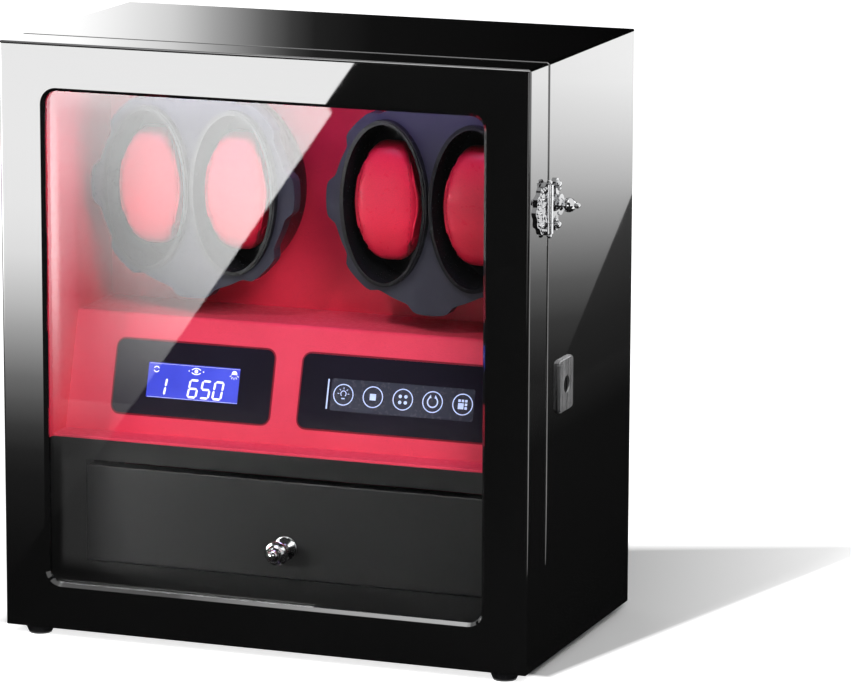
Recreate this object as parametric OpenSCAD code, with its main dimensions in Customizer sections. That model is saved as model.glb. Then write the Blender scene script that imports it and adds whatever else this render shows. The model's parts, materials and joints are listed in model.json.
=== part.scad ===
// Watch winder box: lacquered case with a glazed door, two lobed rotors on gear drives,
// a control console and a drawer. Millimetres, floor at Z = 0, front towards -Y.

/* [Case] */
// Width of the box
box_w = 326; // [322:1:360]
// Height of the box without its feet
box_h = 348; // [344:1:380]
// Depth of the box with its door
box_d = 185; // [182:1:220]
// Thickness of the lacquered panels
panel_t = 12; // [11:0.5:13]
// Radius on the outer edges of the case and door
edge_r = 1.6; // [0.8:0.2:2.4]
// Thickness of the back panel
back_t = 9; // [6:0.5:12]
// Section of the battens that the back panel seats on
batten = 9; // [7:0.5:12]
// Height of the feet
foot_h = 5.5; // [5:0.5:12]
// Radius of the feet at the floor
foot_r = 6.8; // [6:0.2:9]
// Growth of the foot radius towards the box
foot_flare = 2.2; // [0.5:0.1:3]
// Distance from the box sides to the foot centres
foot_inset = 17; // [14:1:30]
// Distance from the front and back of the box to the foot centres
foot_end = 11.5; // [10:0.5:20]

/* [Door] */
// Depth of the door
door_t = 31; // [28:0.5:36]
// Gap between the closed door and the case
door_gap = 0.6; // [0.5:0.1:1]
// Width of the flange seen round the window
flange_w = 28; // [24:0.5:34]
// Thickness of that flange
flange_t = 3.5; // [3:0.25:5]
// Bevel on the edge of the window
window_bevel = 2; // [1:0.25:2.5]
// Corner radius of the window
window_r = 8; // [4:0.5:12]
// Thickness of the walls of the door
door_wall = 14; // [13:0.5:16]
// Thickness of the glass
glass_t = 3; // [2.5:0.5:4]
// Section of the glazing beads
bead = 4.5; // [3.5:0.5:6]

/* [Hinges] */
// Radius of the hinge knuckles
knuckle_r = 2.5; // [2.2:0.1:3]
// Radius of the hinge pins
hinge_pin_r = 1.2; // [1:0.1:1.4]
// Length of a hinge
hinge_len = 40; // [30:1:60]
// Thickness of a hinge leaf
leaf_t = 1.2; // [1:0.1:1.5]
// Reach of a leaf past the box side
leaf_w = 10; // [8:0.5:11]
// Distance of the hinges from the ends of the door
hinge_inset = 55; // [40:1:80]

/* [Latch] */
// Height of the latch centre above the underside of the box
latch_z = 266; // [200:1:290]
// Distance of the latch barrel ahead of the seam
barrel_set = 5.2; // [4.6:0.2:8]
// Radius of the latch barrel
barrel_r = 2.3; // [2:0.1:2.8]
// Thickness of the latch plates
latch_t = 1.4; // [1:0.1:1.8]
// Reach of the hasp behind its barrel, to the centre of its knob
hasp_len = 17; // [15:0.5:20]
// Radius of the ball on the hasp
ball_r = 4.2; // [3.5:0.1:4.8]

/* [Lock] */
// Height of the lock centre above the underside of the box
lock_z = 158.5; // [130:0.5:190]
// Distance of the key plug behind the front edge of the case
plug_set = 29; // [24:0.5:36]
// Width of the escutcheon
lock_plate_w = 24; // [22:1:28]
// Height of the escutcheon
lock_plate_h = 31; // [26:1:40]
// Thickness of the escutcheon
lock_plate_t = 2; // [1.2:0.2:2.4]
// Radius of the key plug
plug_r = 5; // [4:0.25:6]
// Travel of the lock bolt
bolt_travel = 5; // [4.5:0.25:5]

/* [Drawer and console] */
// Setback of the face frame from the front edge of the case
face_set = 8.4; // [6:0.2:12]
// Thickness of the face frame
face_t = 12; // [10:0.5:15]
// Width of the stiles beside the drawer
stile_w = 23; // [21:0.5:26]
// Height of the rail under the drawer
rail_h = 21; // [16:0.5:30]
// Gap above the drawer front
drawer_gap = 3.2; // [0.5:0.1:5]
// Thickness of the drawer front
drawer_front_t = 10; // [8:0.5:12]
// Clearance between the drawer tray and the power inlet
tray_clear = 4; // [1:0.5:8]
// Thickness of the tray sides
tray_t = 7; // [5:0.5:9]
// Length of the drawer knob
knob_len = 24; // [20:0.5:24.5]
// Radius of the drawer knob
knob_r = 7.4; // [6:0.1:9]
// Thickness of the divider shelf
shelf_t = 12.3; // [10:0.1:14]
// Thickness of the console lip
lip_t = 1.7; // [1.2:0.1:2.5]
// Depth of the console lip
lip_d = 18; // [14:0.5:22]
// Height of the leaning console face
slope_h = 68.3; // [64:0.1:72]
// Setback of the top of the leaning face
slope_back = 19.9; // [14:0.1:24]
// Thickness of the console panel
console_t = 5; // [4:0.5:6]
// Thickness of the liners
liner_t = 1.5; // [1:0.25:2]

/* [Displays] */
// Thickness of the display and touch glasses
pane_t = 2; // [1.5:0.25:3]
// Height of the glasses along the leaning face
pane_h = 44; // [40:0.5:48]
// Width of the display glass
display_w = 100.5; // [90:0.5:112]
// Centre of the display glass from the middle of the box
display_x = -70.7; // [-76:0.1:-66]
// Width of the touch glass
touch_w = 128.5; // [116:0.5:134]
// Centre of the touch glass from the middle of the box
touch_x = 62.3; // [60:0.1:68]
// Width of the liquid crystal screen
screen_w = 59; // [50:0.5:70]
// Height of the liquid crystal screen
screen_h = 21; // [16:0.5:26]

/* [Rotors] */
// Distance between the two rotor axes
rotor_pitch = 150; // [144:0.5:154]
// Clearance above the rotors
rotor_head = 15.75; // [8:0.25:18]
// Clearance below the rotors
rotor_clear = 11.75; // [8:0.25:15]
// Height of the lobes on the rim of the rotors
lobe_h = 4.5; // [3:0.25:8]
// Number of lobes
lobes = 8; // [6:1:12]
// Thickness of the rotor face
face_plate_t = 3.2; // [2.5:0.1:4]
// Distance from the motor board to the mouths of the cups
rotor_reach = 55; // [53:0.5:58]
// Height of the cup mouths ahead of the rotor face
cup_proud = 5; // [3:0.5:7]
// Depth of the lobed rim of the rotors
rim_d = 10; // [8:0.5:14]
// Width of an oval cup inside
cup_w = 49; // [46:0.5:51]
// Height of an oval cup inside
cup_h = 93; // [88:0.5:96]
// Distance between the two cups of a rotor
cup_pitch = 55; // [54:0.5:57]
// Depth of a cup inside
cup_d = 34; // [30:0.5:35]
// Thickness of the cup walls
cup_t = 1.4; // [1:0.1:1.6]
// Width of a watch pillow
pillow_w = 44; // [38:0.5:45]
// Height of a watch pillow
pillow_h = 74; // [66:0.5:78]
// Thickness of a watch pillow
pillow_t = 34; // [28:0.5:36]

/* [Drives] */
// Depth of the motor bay
motor_bay = 40; // [38:0.5:46]
// Thickness of the motor board
board_t = 8; // [6:0.5:9]
// Gear module
gear_m = 1.25; // [1.25:0.05:1.3]
// Teeth on a rotor gear
gear_teeth = 48; // [44:4:48]
// Teeth on a pinion
pinion_teeth = 12; // [12:1:14]
// Thickness of the gears
gear_t = 5; // [4:0.5:6]
// Radius of the rotor shafts
shaft_r = 3; // [2.5:0.25:3.5]
// Radius of the gearmotor cans
motor_r = 12; // [10:0.5:13]
// Length of the gearmotor cans
motor_len = 22; // [18:0.5:24]

/* [Hidden] */
$fn = 64;

lacquer = "#0d0d0f";
black = "#1b1b1d";
red = "#c21f3a";
slate = "#3c3c46";
steel = "silver";

eps = 0.01;            // overlap that keeps cuts clean
near = 0.3;            // gap between pieces that nearly touch
fit = 0.08;            // radial clearance of a running fit

// the rotor grows with its cups: reach of a cup wall, drum round it with its draft, notches and lobes
cup_a = cup_w / 2 + cup_t;
cup_b = cup_h / 2 + cup_t;
cup_reach = norm([cup_pitch / 2, cup_b, cup_a * cup_pitch / 2 / sqrt(cup_b * cup_b - cup_a * cup_a)]);
drum_t = 1.4;
drum_draft = 0.3;                      // the drum narrows by this towards its back
drum_gap = 0.9;                        // between the cups and the drum
drum_r = cup_reach + drum_gap + drum_t;
notch_r = drum_r + 0.2;
lobe_r = notch_r + lobe_h;

// levels: the rotors and the console hang below the top, and the drawer takes what is left
z_bot = foot_h;
z_top = z_bot + box_h;
z_floor = z_bot + panel_t;
z_ceil = z_top - panel_t;
z_liner = z_ceil - liner_t;
rotor_z = z_liner - rotor_head - lobe_r;
z_ledge = rotor_z - lobe_r - rotor_clear;
z_lip = z_ledge - slope_h;
z_deck = z_lip - lip_t;
z_shelf = z_deck - shelf_t;
z_open = z_floor + rail_h;
bay_h = z_shelf - z_open;              // height of the drawer bay

// planes, from the front back
y_front = -box_d / 2;
y_back = box_d / 2;
y_door = y_front + door_t;
y_case = y_door + door_gap;
y_face = y_case + face_set;
y_panel = y_back - back_t;
y_bay = y_panel - motor_bay;
y_board = y_bay - board_t;
y_lip = y_face + 0.6;
y_foot = y_lip + lip_d;
y_brow = y_foot + slope_back;
y_rotor = y_board - rotor_reach;
y_cup = y_rotor + cup_d;

// half widths
x_out = box_w / 2;
x_in = x_out - panel_t;
x_liner = x_in - liner_t;
x_stile = x_in - stile_w;

// ---- shared shapes ----

// Rounded rectangle between two corners
module rounded(lo, hi, r) {
  translate([lo.x + r, lo.y]) square([hi.x - lo.x - 2 * r, hi.y - lo.y]);
  translate([lo.x, lo.y + r]) square([hi.x - lo.x, hi.y - lo.y - 2 * r]);
  for (x = [lo.x + r, hi.x - r], y = [lo.y + r, hi.y - r]) translate([x, y]) circle(r);
}

// Solid from an outline in X and Z, between two depths
module along_y(y0, y1) translate([0, y1, 0]) rotate([90, 0, 0]) linear_extrude(y1 - y0) children();

// Solid from an outline in Y and Z, between two sides
module along_x(x0, x1) translate([x0, 0, 0]) rotate([90, 0, 90]) linear_extrude(x1 - x0) children();

// Turned piece: profile in radius and depth, turned about an axis that points forwards or back
module turned(at, forwards = true)
  translate(at) rotate([forwards ? 90 : -90, 0, 0]) rotate_extrude() children();

// Rectangle between two corners
module pane(lo, hi) translate(lo) square(hi - lo);

// Block between two corners
module block(lo, hi) translate(lo) cube(hi - lo);

// Block with all its edges rounded
module soft_block(lo, hi, r) {
  intersection() {
    translate([0, 0, lo.z]) linear_extrude(hi.z - lo.z) rounded([lo.x, lo.y], [hi.x, hi.y], r);
    along_y(lo.y, hi.y) rounded([lo.x, lo.z], [hi.x, hi.z], r);
    along_x(lo.x, hi.x) rounded([lo.y, lo.z], [hi.y, hi.z], r);
  }
}

// The same piece on the left and on the right
module both_sides() for (left = [0, 1]) mirror([left, 0, 0]) children();

// Points along an arc
function arc(c, r, a0, a1, n = 8) =
  [for (i = [0:n]) let (a = a0 + (a1 - a0) * i / n) c + r * [cos(a), sin(a)]];

// Points of an oval
function oval(a, b, n = 72) = [for (i = [0:n - 1]) [a * cos(360 * i / n), b * sin(360 * i / n)]];

// ---- case ----

hinge_x = -x_out - knuckle_r - 0.2;
hinge_y = (y_door + y_case) / 2;
hinge_z = [z_bot + hinge_inset, z_top - hinge_inset];
leaf_gap = 0.05;                       // each leaf stands this far off the hinge plane
knuckle_len = hinge_len / 5;

plug_y = y_case + plug_set;
plug_z = z_bot + lock_z;
lock_t = 8;                            // thickness of the lock body
lock_half = 12;                        // half height of the lock body
lock_tail = 10;                        // reach of the lock body behind the plug
bolt_lo = 2.2;                         // bolt faces, from the inside of the wall
bolt_hi = 6.2;
bolt_half = 4;                         // half height of the bolt
crank_r = bolt_travel / sqrt(2);       // the crank pin swings a quarter turn about straight up
crank_pin_r = 1.1;

foot_recess_r = 3.5;                    // recess for the head of a foot screw
foot_x = x_out - foot_inset;
case_foot_y = [y_case + foot_end, y_back - foot_end];

// Lacquered outer form that the four case panels share
module case_form() soft_block([-x_out, y_case, z_bot], [x_out, y_back, z_top], edge_r);

// One mitred panel: the part of the form inside an outline in X and Z
module mitred(points) intersection() {
  case_form();
  along_y(y_case - 1, y_back + 1) polygon(points);
}

module case_top() color(lacquer)
  mitred([[-x_out, z_top], [-x_in, z_ceil], [x_in, z_ceil], [x_out, z_top]]);

module case_bottom() color(lacquer) difference() {
  mitred([[-x_out, z_bot], [x_out, z_bot], [x_in, z_floor], [-x_in, z_floor]]);
  for (x = [-foot_x, foot_x], y = case_foot_y) translate([x, y, z_bot - eps]) cylinder(h = 9, r = 1.55);
}

module case_left() color(lacquer) difference() {
  mitred([[-x_out, z_bot], [-x_in, z_floor], [-x_in, z_ceil], [-x_out, z_top]]);
  for (z = hinge_z)
    block([-x_out - 1, y_case - 1, z - hinge_len / 2],
          [-x_out + leaf_w, hinge_y + leaf_gap + leaf_t, z + hinge_len / 2]);
}

module case_right() color(lacquer) difference() {
  mitred([[x_out, z_bot], [x_out, z_top], [x_in, z_ceil], [x_in, z_floor]]);
  block([x_in - 1, y_case - 1, plug_z - lock_half], [x_in + lock_t, plug_y + lock_tail, plug_z + lock_half]);
  translate([x_in, plug_y, plug_z]) rotate([0, 90, 0]) cylinder(h = panel_t + 1, r = plug_r + fit);
}

screw_x = x_in - batten / 2;
screw_z = [z_floor + 30, (z_floor + z_ceil) / 2, z_ceil - 30];
jack_at = [x_in - 34, y_back, z_floor + 40];
jack_depth = back_t + 8;               // reach of the inlet into the box

// Wood screw pointing forwards from its head, and with slack the hole that it fits
module back_screw(x, z, slack = 0) translate([x, y_back + slack, z]) rotate([90, 0, 0]) {
  cylinder(h = 2 + slack, r1 = 3.2 + slack, r2 = 1.5 + slack);
  cylinder(h = back_t + batten - 2 + 10 * slack, r = 1.5 + slack);
}

module back_panel() color(lacquer) difference() {
  block([-x_in, y_panel, z_floor], [x_in, y_back, z_ceil]);
  for (x = [-screw_x, screw_x], z = screw_z) back_screw(x, z, 0.05);
  turned(jack_at) polygon([[0, -1], [7.3, -1], [7.3, 1.3], [5.7, 1.3], [5.7, back_t + 1], [0, back_t + 1]]);
}

module back_battens() color("#3a2a1c") difference() {
  along_y(y_panel - batten, y_panel) difference() {
    translate([-x_in, z_floor]) square([2 * x_in, z_ceil - z_floor]);
    translate([-x_in + batten, z_floor + batten])
      square([2 * (x_in - batten), z_ceil - z_floor - 2 * batten]);
  }
  for (x = [-screw_x, screw_x], z = screw_z) back_screw(x, z, 0.05);
}

module back_screws() color(steel) for (x = [-screw_x, screw_x], z = screw_z) back_screw(x, z);

// Tapered foot, wider at the top
module foot(x, y) translate([x, y, 0]) cylinder(h = foot_h, r1 = foot_r, r2 = foot_r + foot_flare);

module case_feet() color(black) difference() {
  for (x = [-foot_x, foot_x], y = case_foot_y) foot(x, y);
  for (x = [-foot_x, foot_x], y = case_foot_y) translate([x, y, -eps]) {
    cylinder(h = 3, r = foot_recess_r);
    cylinder(h = foot_h + 1, r = 1.6);
  }
}

module door_feet() color(black) for (x = [-foot_x, foot_x]) foot(x, y_front + foot_end);

module foot_screws() color(steel) for (x = [-foot_x, foot_x], y = case_foot_y) translate([x, y, 0]) {
  translate([0, 0, 1.6]) cylinder(h = 3 - 1.6 - eps, r = 3);
  translate([0, 0, 2]) cylinder(h = foot_h + 5, r = 1.5);
}

module face_frame() color(black) along_y(y_face, y_face + face_t)
  polygon([[-x_in, z_floor], [x_in, z_floor], [x_in, z_deck], [x_stile, z_deck], [x_stile, z_open],
           [-x_stile, z_open], [-x_stile, z_deck], [-x_in, z_deck]]);

module shelf_board() color(black) translate([0, 0, z_shelf]) linear_extrude(shelf_t)
  polygon([[-x_stile, y_face], [x_stile, y_face], [x_stile, y_face + face_t], [x_in, y_face + face_t],
           [x_in, y_bay], [-x_in, y_bay], [-x_in, y_face + face_t], [-x_stile, y_face + face_t]]);

liner_front = y_case + edge_r;

module side_liners() color(red) both_sides() {
  block([x_liner, liner_front, z_deck], [x_in, y_board, z_ceil]);
  block([x_liner - 0.5, liner_front, z_lip], [x_liner, liner_front + 15, z_liner]);
}

module top_liner() color(red) block([-x_liner, liner_front, z_liner], [x_liner, y_board, z_ceil]);

bush_r = 5;
bush_rim = 7;                          // radius of the flange on a bush
bush_head = 1.2;                       // thickness of the flange behind a motor plate

module motor_board() color(red) difference() {
  block([-x_in, y_board, z_deck], [x_in, y_bay, z_ceil]);
  for (s = [-1, 1]) turned([s * rotor_pitch / 2, y_bay + 1, rotor_z])
    square([bush_r + 0.05, board_t + 2]);
}

// ---- console ----

lean = atan2(slope_back, slope_h);
slope_len = norm([slope_back, slope_h]);

// Places children on the leaning face: X across, Y up the slope, Z out of it
module on_slope(x, up)
  translate([0, y_foot, z_lip]) rotate([90 - lean, 0, 0]) translate([x, up, 0]) children();

glass_up = slope_len / 2 - 2.2;        // centre of the glasses, up the slope
pane_seat = pane_t - 0.4;              // the glasses stand a little proud

module pane_outline(w, slack = 0)
  rounded([-w / 2 - slack, -pane_h / 2 - slack], [w / 2 + slack, pane_h / 2 + slack], 5 + slack);

board_margin = 12;                     // the boards are this much smaller than their glasses

module console() color(red) difference() {
  along_x(-x_liner, x_liner) polygon(concat(
    [[y_lip, z_deck]],
    arc([y_lip + 0.8, z_lip - 0.8], 0.8, 180, 90, 4),
    [[y_foot, z_lip]],
    arc([y_brow + 3 * tan(45 - lean / 2), z_ledge - 3], 3, 180 - lean, 90, 6),
    [[y_board, z_ledge], [y_board, z_ledge - console_t],
     [y_brow + console_t, z_ledge - console_t], [y_foot + console_t + 0.5, z_deck]]
  ));
  for (p = [[display_x, display_w], [touch_x, touch_w]]) on_slope(p[0], glass_up) {
    translate([0, 0, -pane_seat]) linear_extrude(5) pane_outline(p[1], 0.1);
    translate([0, 0, -4 * console_t]) linear_extrude(4 * console_t + 1)
      square([p[1] - board_margin, pane_h - board_margin], center = true);
  }
}

screen_drop = -1;                      // the screen sits this far from the middle of its glass

module display_glass() color("#0a0a10") on_slope(display_x, glass_up) translate([0, 0, -pane_seat])
  linear_extrude(pane_t) difference() {
    pane_outline(display_w);
    translate([0, screen_drop]) square([screen_w, screen_h], center = true);
  }

module touch_glass() color("#0a0a10") on_slope(touch_x, glass_up) translate([0, 0, -pane_seat])
  linear_extrude(pane_t) pane_outline(touch_w);

circuit_t = 1.6;
chip = 9;                              // side of a chip on the boards
chip_t = 2.2;

// Circuit board behind a glass, with the chips on its back
module circuit(w, h) {
  linear_extrude(circuit_t) square([w, h], center = true);
  for (x = [-w / 3, 0, w / 3]) translate([x, 0, -chip_t])
    linear_extrude(chip_t + eps) square([chip, chip], center = true);
}

lcd_t = 3.4;                           // thickness of the liquid crystal cell behind the glass

module lcd_module() on_slope(display_x, glass_up) {
  color("darkgreen") translate([0, 0, -pane_seat - lcd_t - circuit_t])
    circuit(display_w - board_margin - 2, pane_h - board_margin - 2);
  color("#2a4bff") translate([0, 0, -pane_seat - lcd_t - eps]) linear_extrude(lcd_t + eps)
    square([screen_w + 6, screen_h + 6], center = true);
  color("#2a4bff") translate([0, screen_drop, -pane_seat - eps]) linear_extrude(pane_t - 0.5)
    square([screen_w - 0.4, screen_h - 0.4], center = true);
}

module touch_board() color("darkgreen") on_slope(touch_x, glass_up)
  translate([0, 0, -pane_seat - circuit_t]) circuit(touch_w - board_margin - 2, pane_h - board_margin - 2);

standoff = 6;                          // height of the standoffs under the control board
standoff_in = 5;                       // from the edges of the board to the standoffs
control_gap = 3.75;                    // room ahead of and behind the control board
control_w = 150;
control_d = y_board - y_brow - 2 * control_gap;
driver = 14;                           // side of a driver chip
driver_x = [-3.2, -1.1, 1.4] * driver;
can_r = 5;                             // capacitors
can_h = 11;
can_x = control_w / 2 - 3 * can_r;

module control_board() translate([0, (y_brow + y_board) / 2, z_deck]) {
  color("darkgreen") translate([0, 0, standoff]) linear_extrude(circuit_t)
    square([control_w, control_d], center = true);
  color("gold")
    for (x = [-1, 1] * (control_w / 2 - standoff_in), y = [-1, 1] * (control_d / 2 - standoff_in))
      translate([x, y, 0]) cylinder(h = standoff, r = standoff_in / 2);
  translate([0, 0, standoff + circuit_t - eps]) {
    color("black") for (x = driver_x) translate([x, 0, 0]) linear_extrude(chip_t)
      square([driver, driver], center = true);
    color("silver") for (x = [can_x, can_x - 2.4 * can_r]) translate([x, 0, 0])
      cylinder(h = can_h, r = can_r);
  }
}

light_set = 22;                        // distance of the light behind the front of the liners
light_end = 24;                        // distance of its ends from the side liners
light_y = liner_front + light_set;
light_half = x_liner - light_end;

module light_channel() color("silver") along_x(-light_half, light_half)
  polygon([[light_y - 7, z_liner], [light_y - 7, z_liner - 6], [light_y - 5.8, z_liner - 6],
           [light_y - 5.8, z_liner - 1.2], [light_y + 5.8, z_liner - 1.2], [light_y + 5.8, z_liner - 6],
           [light_y + 7, z_liner - 6], [light_y + 7, z_liner]]);

module light_lens() color("#c8b8ff") along_x(-light_half, light_half)
  pane([light_y - 5.8, z_liner - 6.4], [light_y + 5.8, z_liner - 1.2]);

jack_bore_r = 3.15;
jack_pin_r = 1.05;
jack_hole = 10;                        // depth of the hole for the plug

module dc_jack() color(black) {
  turned(jack_at) polygon([
    [jack_bore_r, 0], [7, 0], [7, 1.3], [5.5, 1.3], [5.5, jack_depth], [0, jack_depth],
    [0, jack_hole], [jack_bore_r, jack_hole]]);
  color(steel) turned(jack_at) polygon([
    [0, 1.2], [0.7, 1.2], [jack_pin_r, 1.6], [jack_pin_r, jack_hole + eps], [0, jack_hole + eps]]);
  translate(jack_at + [0, -back_t, 0]) rotate([90, 0, 0]) difference() {
    cylinder(h = 2.5, r = 8, $fn = 6);
    translate([0, 0, -1]) cylinder(h = 5, r = 5);
  }
}

// ---- hinges ----

// One leaf with its knuckles; dir is 1 for the case leaf and -1 for the door leaf
module hinge_leaf(z, dir, own) {
  leaf_y0 = hinge_y + min(dir * leaf_gap, dir * (leaf_gap + leaf_t));
  leaf_y1 = leaf_y0 + leaf_t;
  translate([0, 0, z - hinge_len / 2]) difference() {
    union() {
      block([hinge_x + knuckle_r + near, leaf_y0, 0], [-x_out + leaf_w, leaf_y1, hinge_len]);
      for (i = own) translate([0, 0, i * knuckle_len + 0.1]) {
        translate([hinge_x, hinge_y, 0]) cylinder(h = knuckle_len - 0.2, r = knuckle_r);
        block([hinge_x, leaf_y0, 0], [hinge_x + knuckle_r + 1, leaf_y1, knuckle_len - 0.2]);
      }
    }
    translate([hinge_x, hinge_y, -1]) cylinder(h = hinge_len + 2, r = hinge_pin_r + fit);
  }
}

module case_hinge_leaves() color(steel) for (z = hinge_z) hinge_leaf(z, 1, [0, 2, 4]);

module door_hinge_leaves() color(steel) for (z = hinge_z) hinge_leaf(z, -1, [1, 3]);

module hinge_pins() color(steel) for (z = hinge_z) translate([hinge_x, hinge_y, z - hinge_len / 2]) {
  cylinder(h = hinge_len, r = hinge_pin_r);
  translate([0, 0, -0.9]) cylinder(h = 1, r1 = 1.6, r2 = 2.2);
  translate([0, 0, hinge_len - 0.1]) cylinder(h = 1, r1 = 2.2, r2 = 1.6);
}

// ---- door ----

door_in_x = x_out - door_wall;
door_lo = z_bot + door_wall;
door_hi = z_top - door_wall;
window_x = x_out - flange_w;
pane_slack = 0.5;

module window_outline(grow = 0)
  rounded([-window_x - grow, z_bot + flange_w - grow], [window_x + grow, z_top - flange_w + grow],
          window_r + grow, $fn = 32);

module door_frame() color(lacquer) difference() {
  soft_block([-x_out, y_front, z_bot], [x_out, y_door, z_top], edge_r);
  along_y(y_front + flange_t, y_door + 1) rounded([-door_in_x, door_lo], [door_in_x, door_hi], 2);
  along_y(y_front - 1, y_door) window_outline();
  hull() {
    along_y(y_front - 1, y_front) window_outline(window_bevel);
    along_y(y_front + window_bevel - eps, y_front + window_bevel) window_outline();
  }
  for (z = hinge_z)
    block([-x_out - 1, hinge_y - leaf_gap - leaf_t, z - hinge_len / 2],
          [-x_out + leaf_w, y_door + 1, z + hinge_len / 2]);
  block([x_in + bolt_lo - near, y_door - bolt_travel, plug_z - bolt_half - near],
        [x_in + bolt_hi + near, y_door + 1, plug_z + bolt_half + near]);
}

glass_x = door_in_x - pane_slack;

glass_y = y_front + flange_t;

module glass_outline(shrink = 0)
  rounded([-glass_x + shrink, door_lo + pane_slack + shrink],
          [glass_x - shrink, door_hi - pane_slack - shrink], 2);

module door_glass() color("#c8d8e8", 0.3) along_y(glass_y, glass_y + glass_t) glass_outline();

module glass_beads() color(black)
  along_y(glass_y + glass_t, glass_y + glass_t + bead) difference() {
    rounded([-door_in_x, door_lo], [door_in_x, door_hi], 2);
    glass_outline(bead - pane_slack);
  }

// ---- latch on the right side ----

barrel_x = x_out + barrel_r + 0.3;
barrel_y = y_door - barrel_set;
latch_at_z = z_bot + latch_z;
catch_y = barrel_y + hasp_len;
barrel_half = 14;                      // half length of the barrel
hasp_half = 7.7;                       // half length of the hasp's own knuckle
latch_pin_r = 0.9;
hasp_x = x_out + latch_t + 1;          // underside of the hasp

rosette_r = 2.4;                       // rosettes on the latch plate

// Scalloped half oval of the latch plate, in depth ahead of the barrel and height
latch_plate_d = 18.5;
latch_plate_h = 14.5;
function scalloped(n = 45) = [
  for (i = [0:n]) let (a = 90 + 180 * i / n, k = 1 + 0.05 * cos(12 * a))
    [latch_plate_d * k * cos(a), latch_plate_h * k * sin(a)]];

// Plate with its two barrel knuckles and three rosettes
module latch_plate_body() {
  knuckle = barrel_half - hasp_half - 0.2;
  along_x(x_out, x_out + latch_t) translate([barrel_y, latch_at_z]) polygon(scalloped());
  for (s = [0, 1]) translate([barrel_x, barrel_y, latch_at_z]) mirror([0, 0, s])
    translate([0, 0, hasp_half + 0.2]) {
      cylinder(h = knuckle, r = barrel_r);
      translate([-barrel_r - 0.3, -barrel_r, 0]) cube([barrel_r + 0.3, barrel_r, knuckle]);
    }
  for (a = [125, 180, 235])
    translate([x_out + latch_t - eps, barrel_y + 10 * cos(a), latch_at_z + 9 * sin(a)])
      rotate([0, 90, 0]) cylinder(h = 0.8, r1 = rosette_r, r2 = rosette_r - 1);
}

module latch_plate() color(steel) {
  difference() {
    latch_plate_body();
    block([x_out - 1, barrel_y - barrel_r - near, latch_at_z - hasp_half - 0.2],
          [barrel_x + barrel_r + 1, barrel_y + barrel_r, latch_at_z + hasp_half + 0.2]);
  }
  // pin riveted through the barrel, with a bead on each end
  translate([barrel_x, barrel_y, latch_at_z]) {
    translate([0, 0, -barrel_half - 0.5]) cylinder(h = 2 * barrel_half + 1, r = latch_pin_r);
    for (s = [-1, 1]) translate([0, 0, s * (barrel_half + 1.2)]) sphere(r = 1.6);
  }
}

// Outline of the hasp behind its barrel: a waisted tongue that ends in a disc
module hasp_outline() {
  translate([0, -hasp_half]) square([2.5, 2 * hasp_half]);
  polygon([[2, -hasp_half + 0.6], [hasp_len - 5, -3], [hasp_len, -4],
           [hasp_len, 4], [hasp_len - 5, 3], [2, hasp_half - 0.6]]);
  translate([hasp_len, 0]) circle(r = 6);
}

module latch_hasp() color(steel) translate([0, barrel_y, latch_at_z]) {
  difference() {
    union() {
      translate([barrel_x, 0, -hasp_half]) cylinder(h = 2 * hasp_half, r = barrel_r);
      along_x(hasp_x, hasp_x + latch_t) hasp_outline();
    }
    translate([barrel_x, 0, -hasp_half - 1]) cylinder(h = 2 * hasp_half + 2, r = latch_pin_r + fit);
  }
  // knob: collar, ball and finial on one neck, with a bead below that sits between the jaws
  translate([hasp_x + latch_t - eps, hasp_len, 0]) rotate([0, 90, 0]) {
    cylinder(h = 1.2, r1 = 3.6, r2 = 2.6);
    translate([0, 0, 0.8 + ball_r * 0.9]) sphere(r = ball_r);
    translate([0, 0, 0.4 + ball_r * 1.9]) cylinder(h = 1.2, r = 1.3);
    translate([0, 0, 1.6 + ball_r * 1.9]) sphere(r = 1.8);
  }
  translate([hasp_x - 0.8, hasp_len, 0]) rotate([0, 90, 0]) cylinder(h = 0.8 + eps, r1 = 0.6, r2 = 0.9);
}

module catch_plate() color(steel) {
  along_x(x_out, x_out + latch_t) translate([catch_y, latch_at_z]) {
    circle(r = 6.6);
    for (s = [-1, 1]) {
      translate([0, s * 11.6]) circle(r = 3.4);
      translate([-2.2, s * 8 - 3]) square([4.4, 6]);
      translate([s * 3.2, s * 8.4]) circle(r = 1.7);
    }
  }
  for (s = [-1, 1]) translate([x_out + latch_t - eps, catch_y, latch_at_z + s * 2.4]) rotate([0, 90, 0])
    cylinder(h = 0.7, r1 = 1.1, r2 = 0.8);
}

// ---- lock ----

plate_step = 0.7;                      // step round the raised field of the escutcheon

module lock_plate() color(steel) difference() {
  for (step = [0, plate_step]) let (w = lock_plate_w / 2 - step, h = lock_plate_h / 2 - step)
    along_x(x_out, x_out + lock_plate_t - plate_step + step)
      rounded([plug_y - w, plug_z - h], [plug_y + w, plug_z + h], 3 - step);
  translate([x_out - 1, plug_y, plug_z]) rotate([0, 90, 0])
    cylinder(h = lock_plate_t + 2, r = plug_r + fit);
}

crank_at = crank_r / sqrt(2);          // crank pin from the plug axis, back and up
bolt_tail = crank_at + crank_pin_r + near + 1.6;   // reach of the bolt behind the plug axis
bolt_crown = crank_r + crank_pin_r + near + 1.4;   // height of its slotted tail

module lock_body() color(steel) difference() {
  block([x_in, y_case, plug_z - lock_half], [x_in + lock_t, plug_y + lock_tail, plug_z + lock_half]);
  block([x_in + bolt_lo - 0.2, y_case - 1, plug_z - bolt_half - 0.2],
        [x_in + bolt_hi + 0.2, plug_y + bolt_tail + near, plug_z + bolt_half + 0.2]);
  block([x_in + bolt_lo - 0.2, plug_y - bolt_tail - bolt_travel - 2, plug_z],
        [x_in + bolt_hi + 0.2, plug_y + bolt_tail + near, plug_z + bolt_crown + near]);
  translate([x_in + bolt_hi, plug_y, plug_z]) rotate([0, 90, 0]) cylinder(h = 5, r = plug_r + fit);
}

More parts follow.
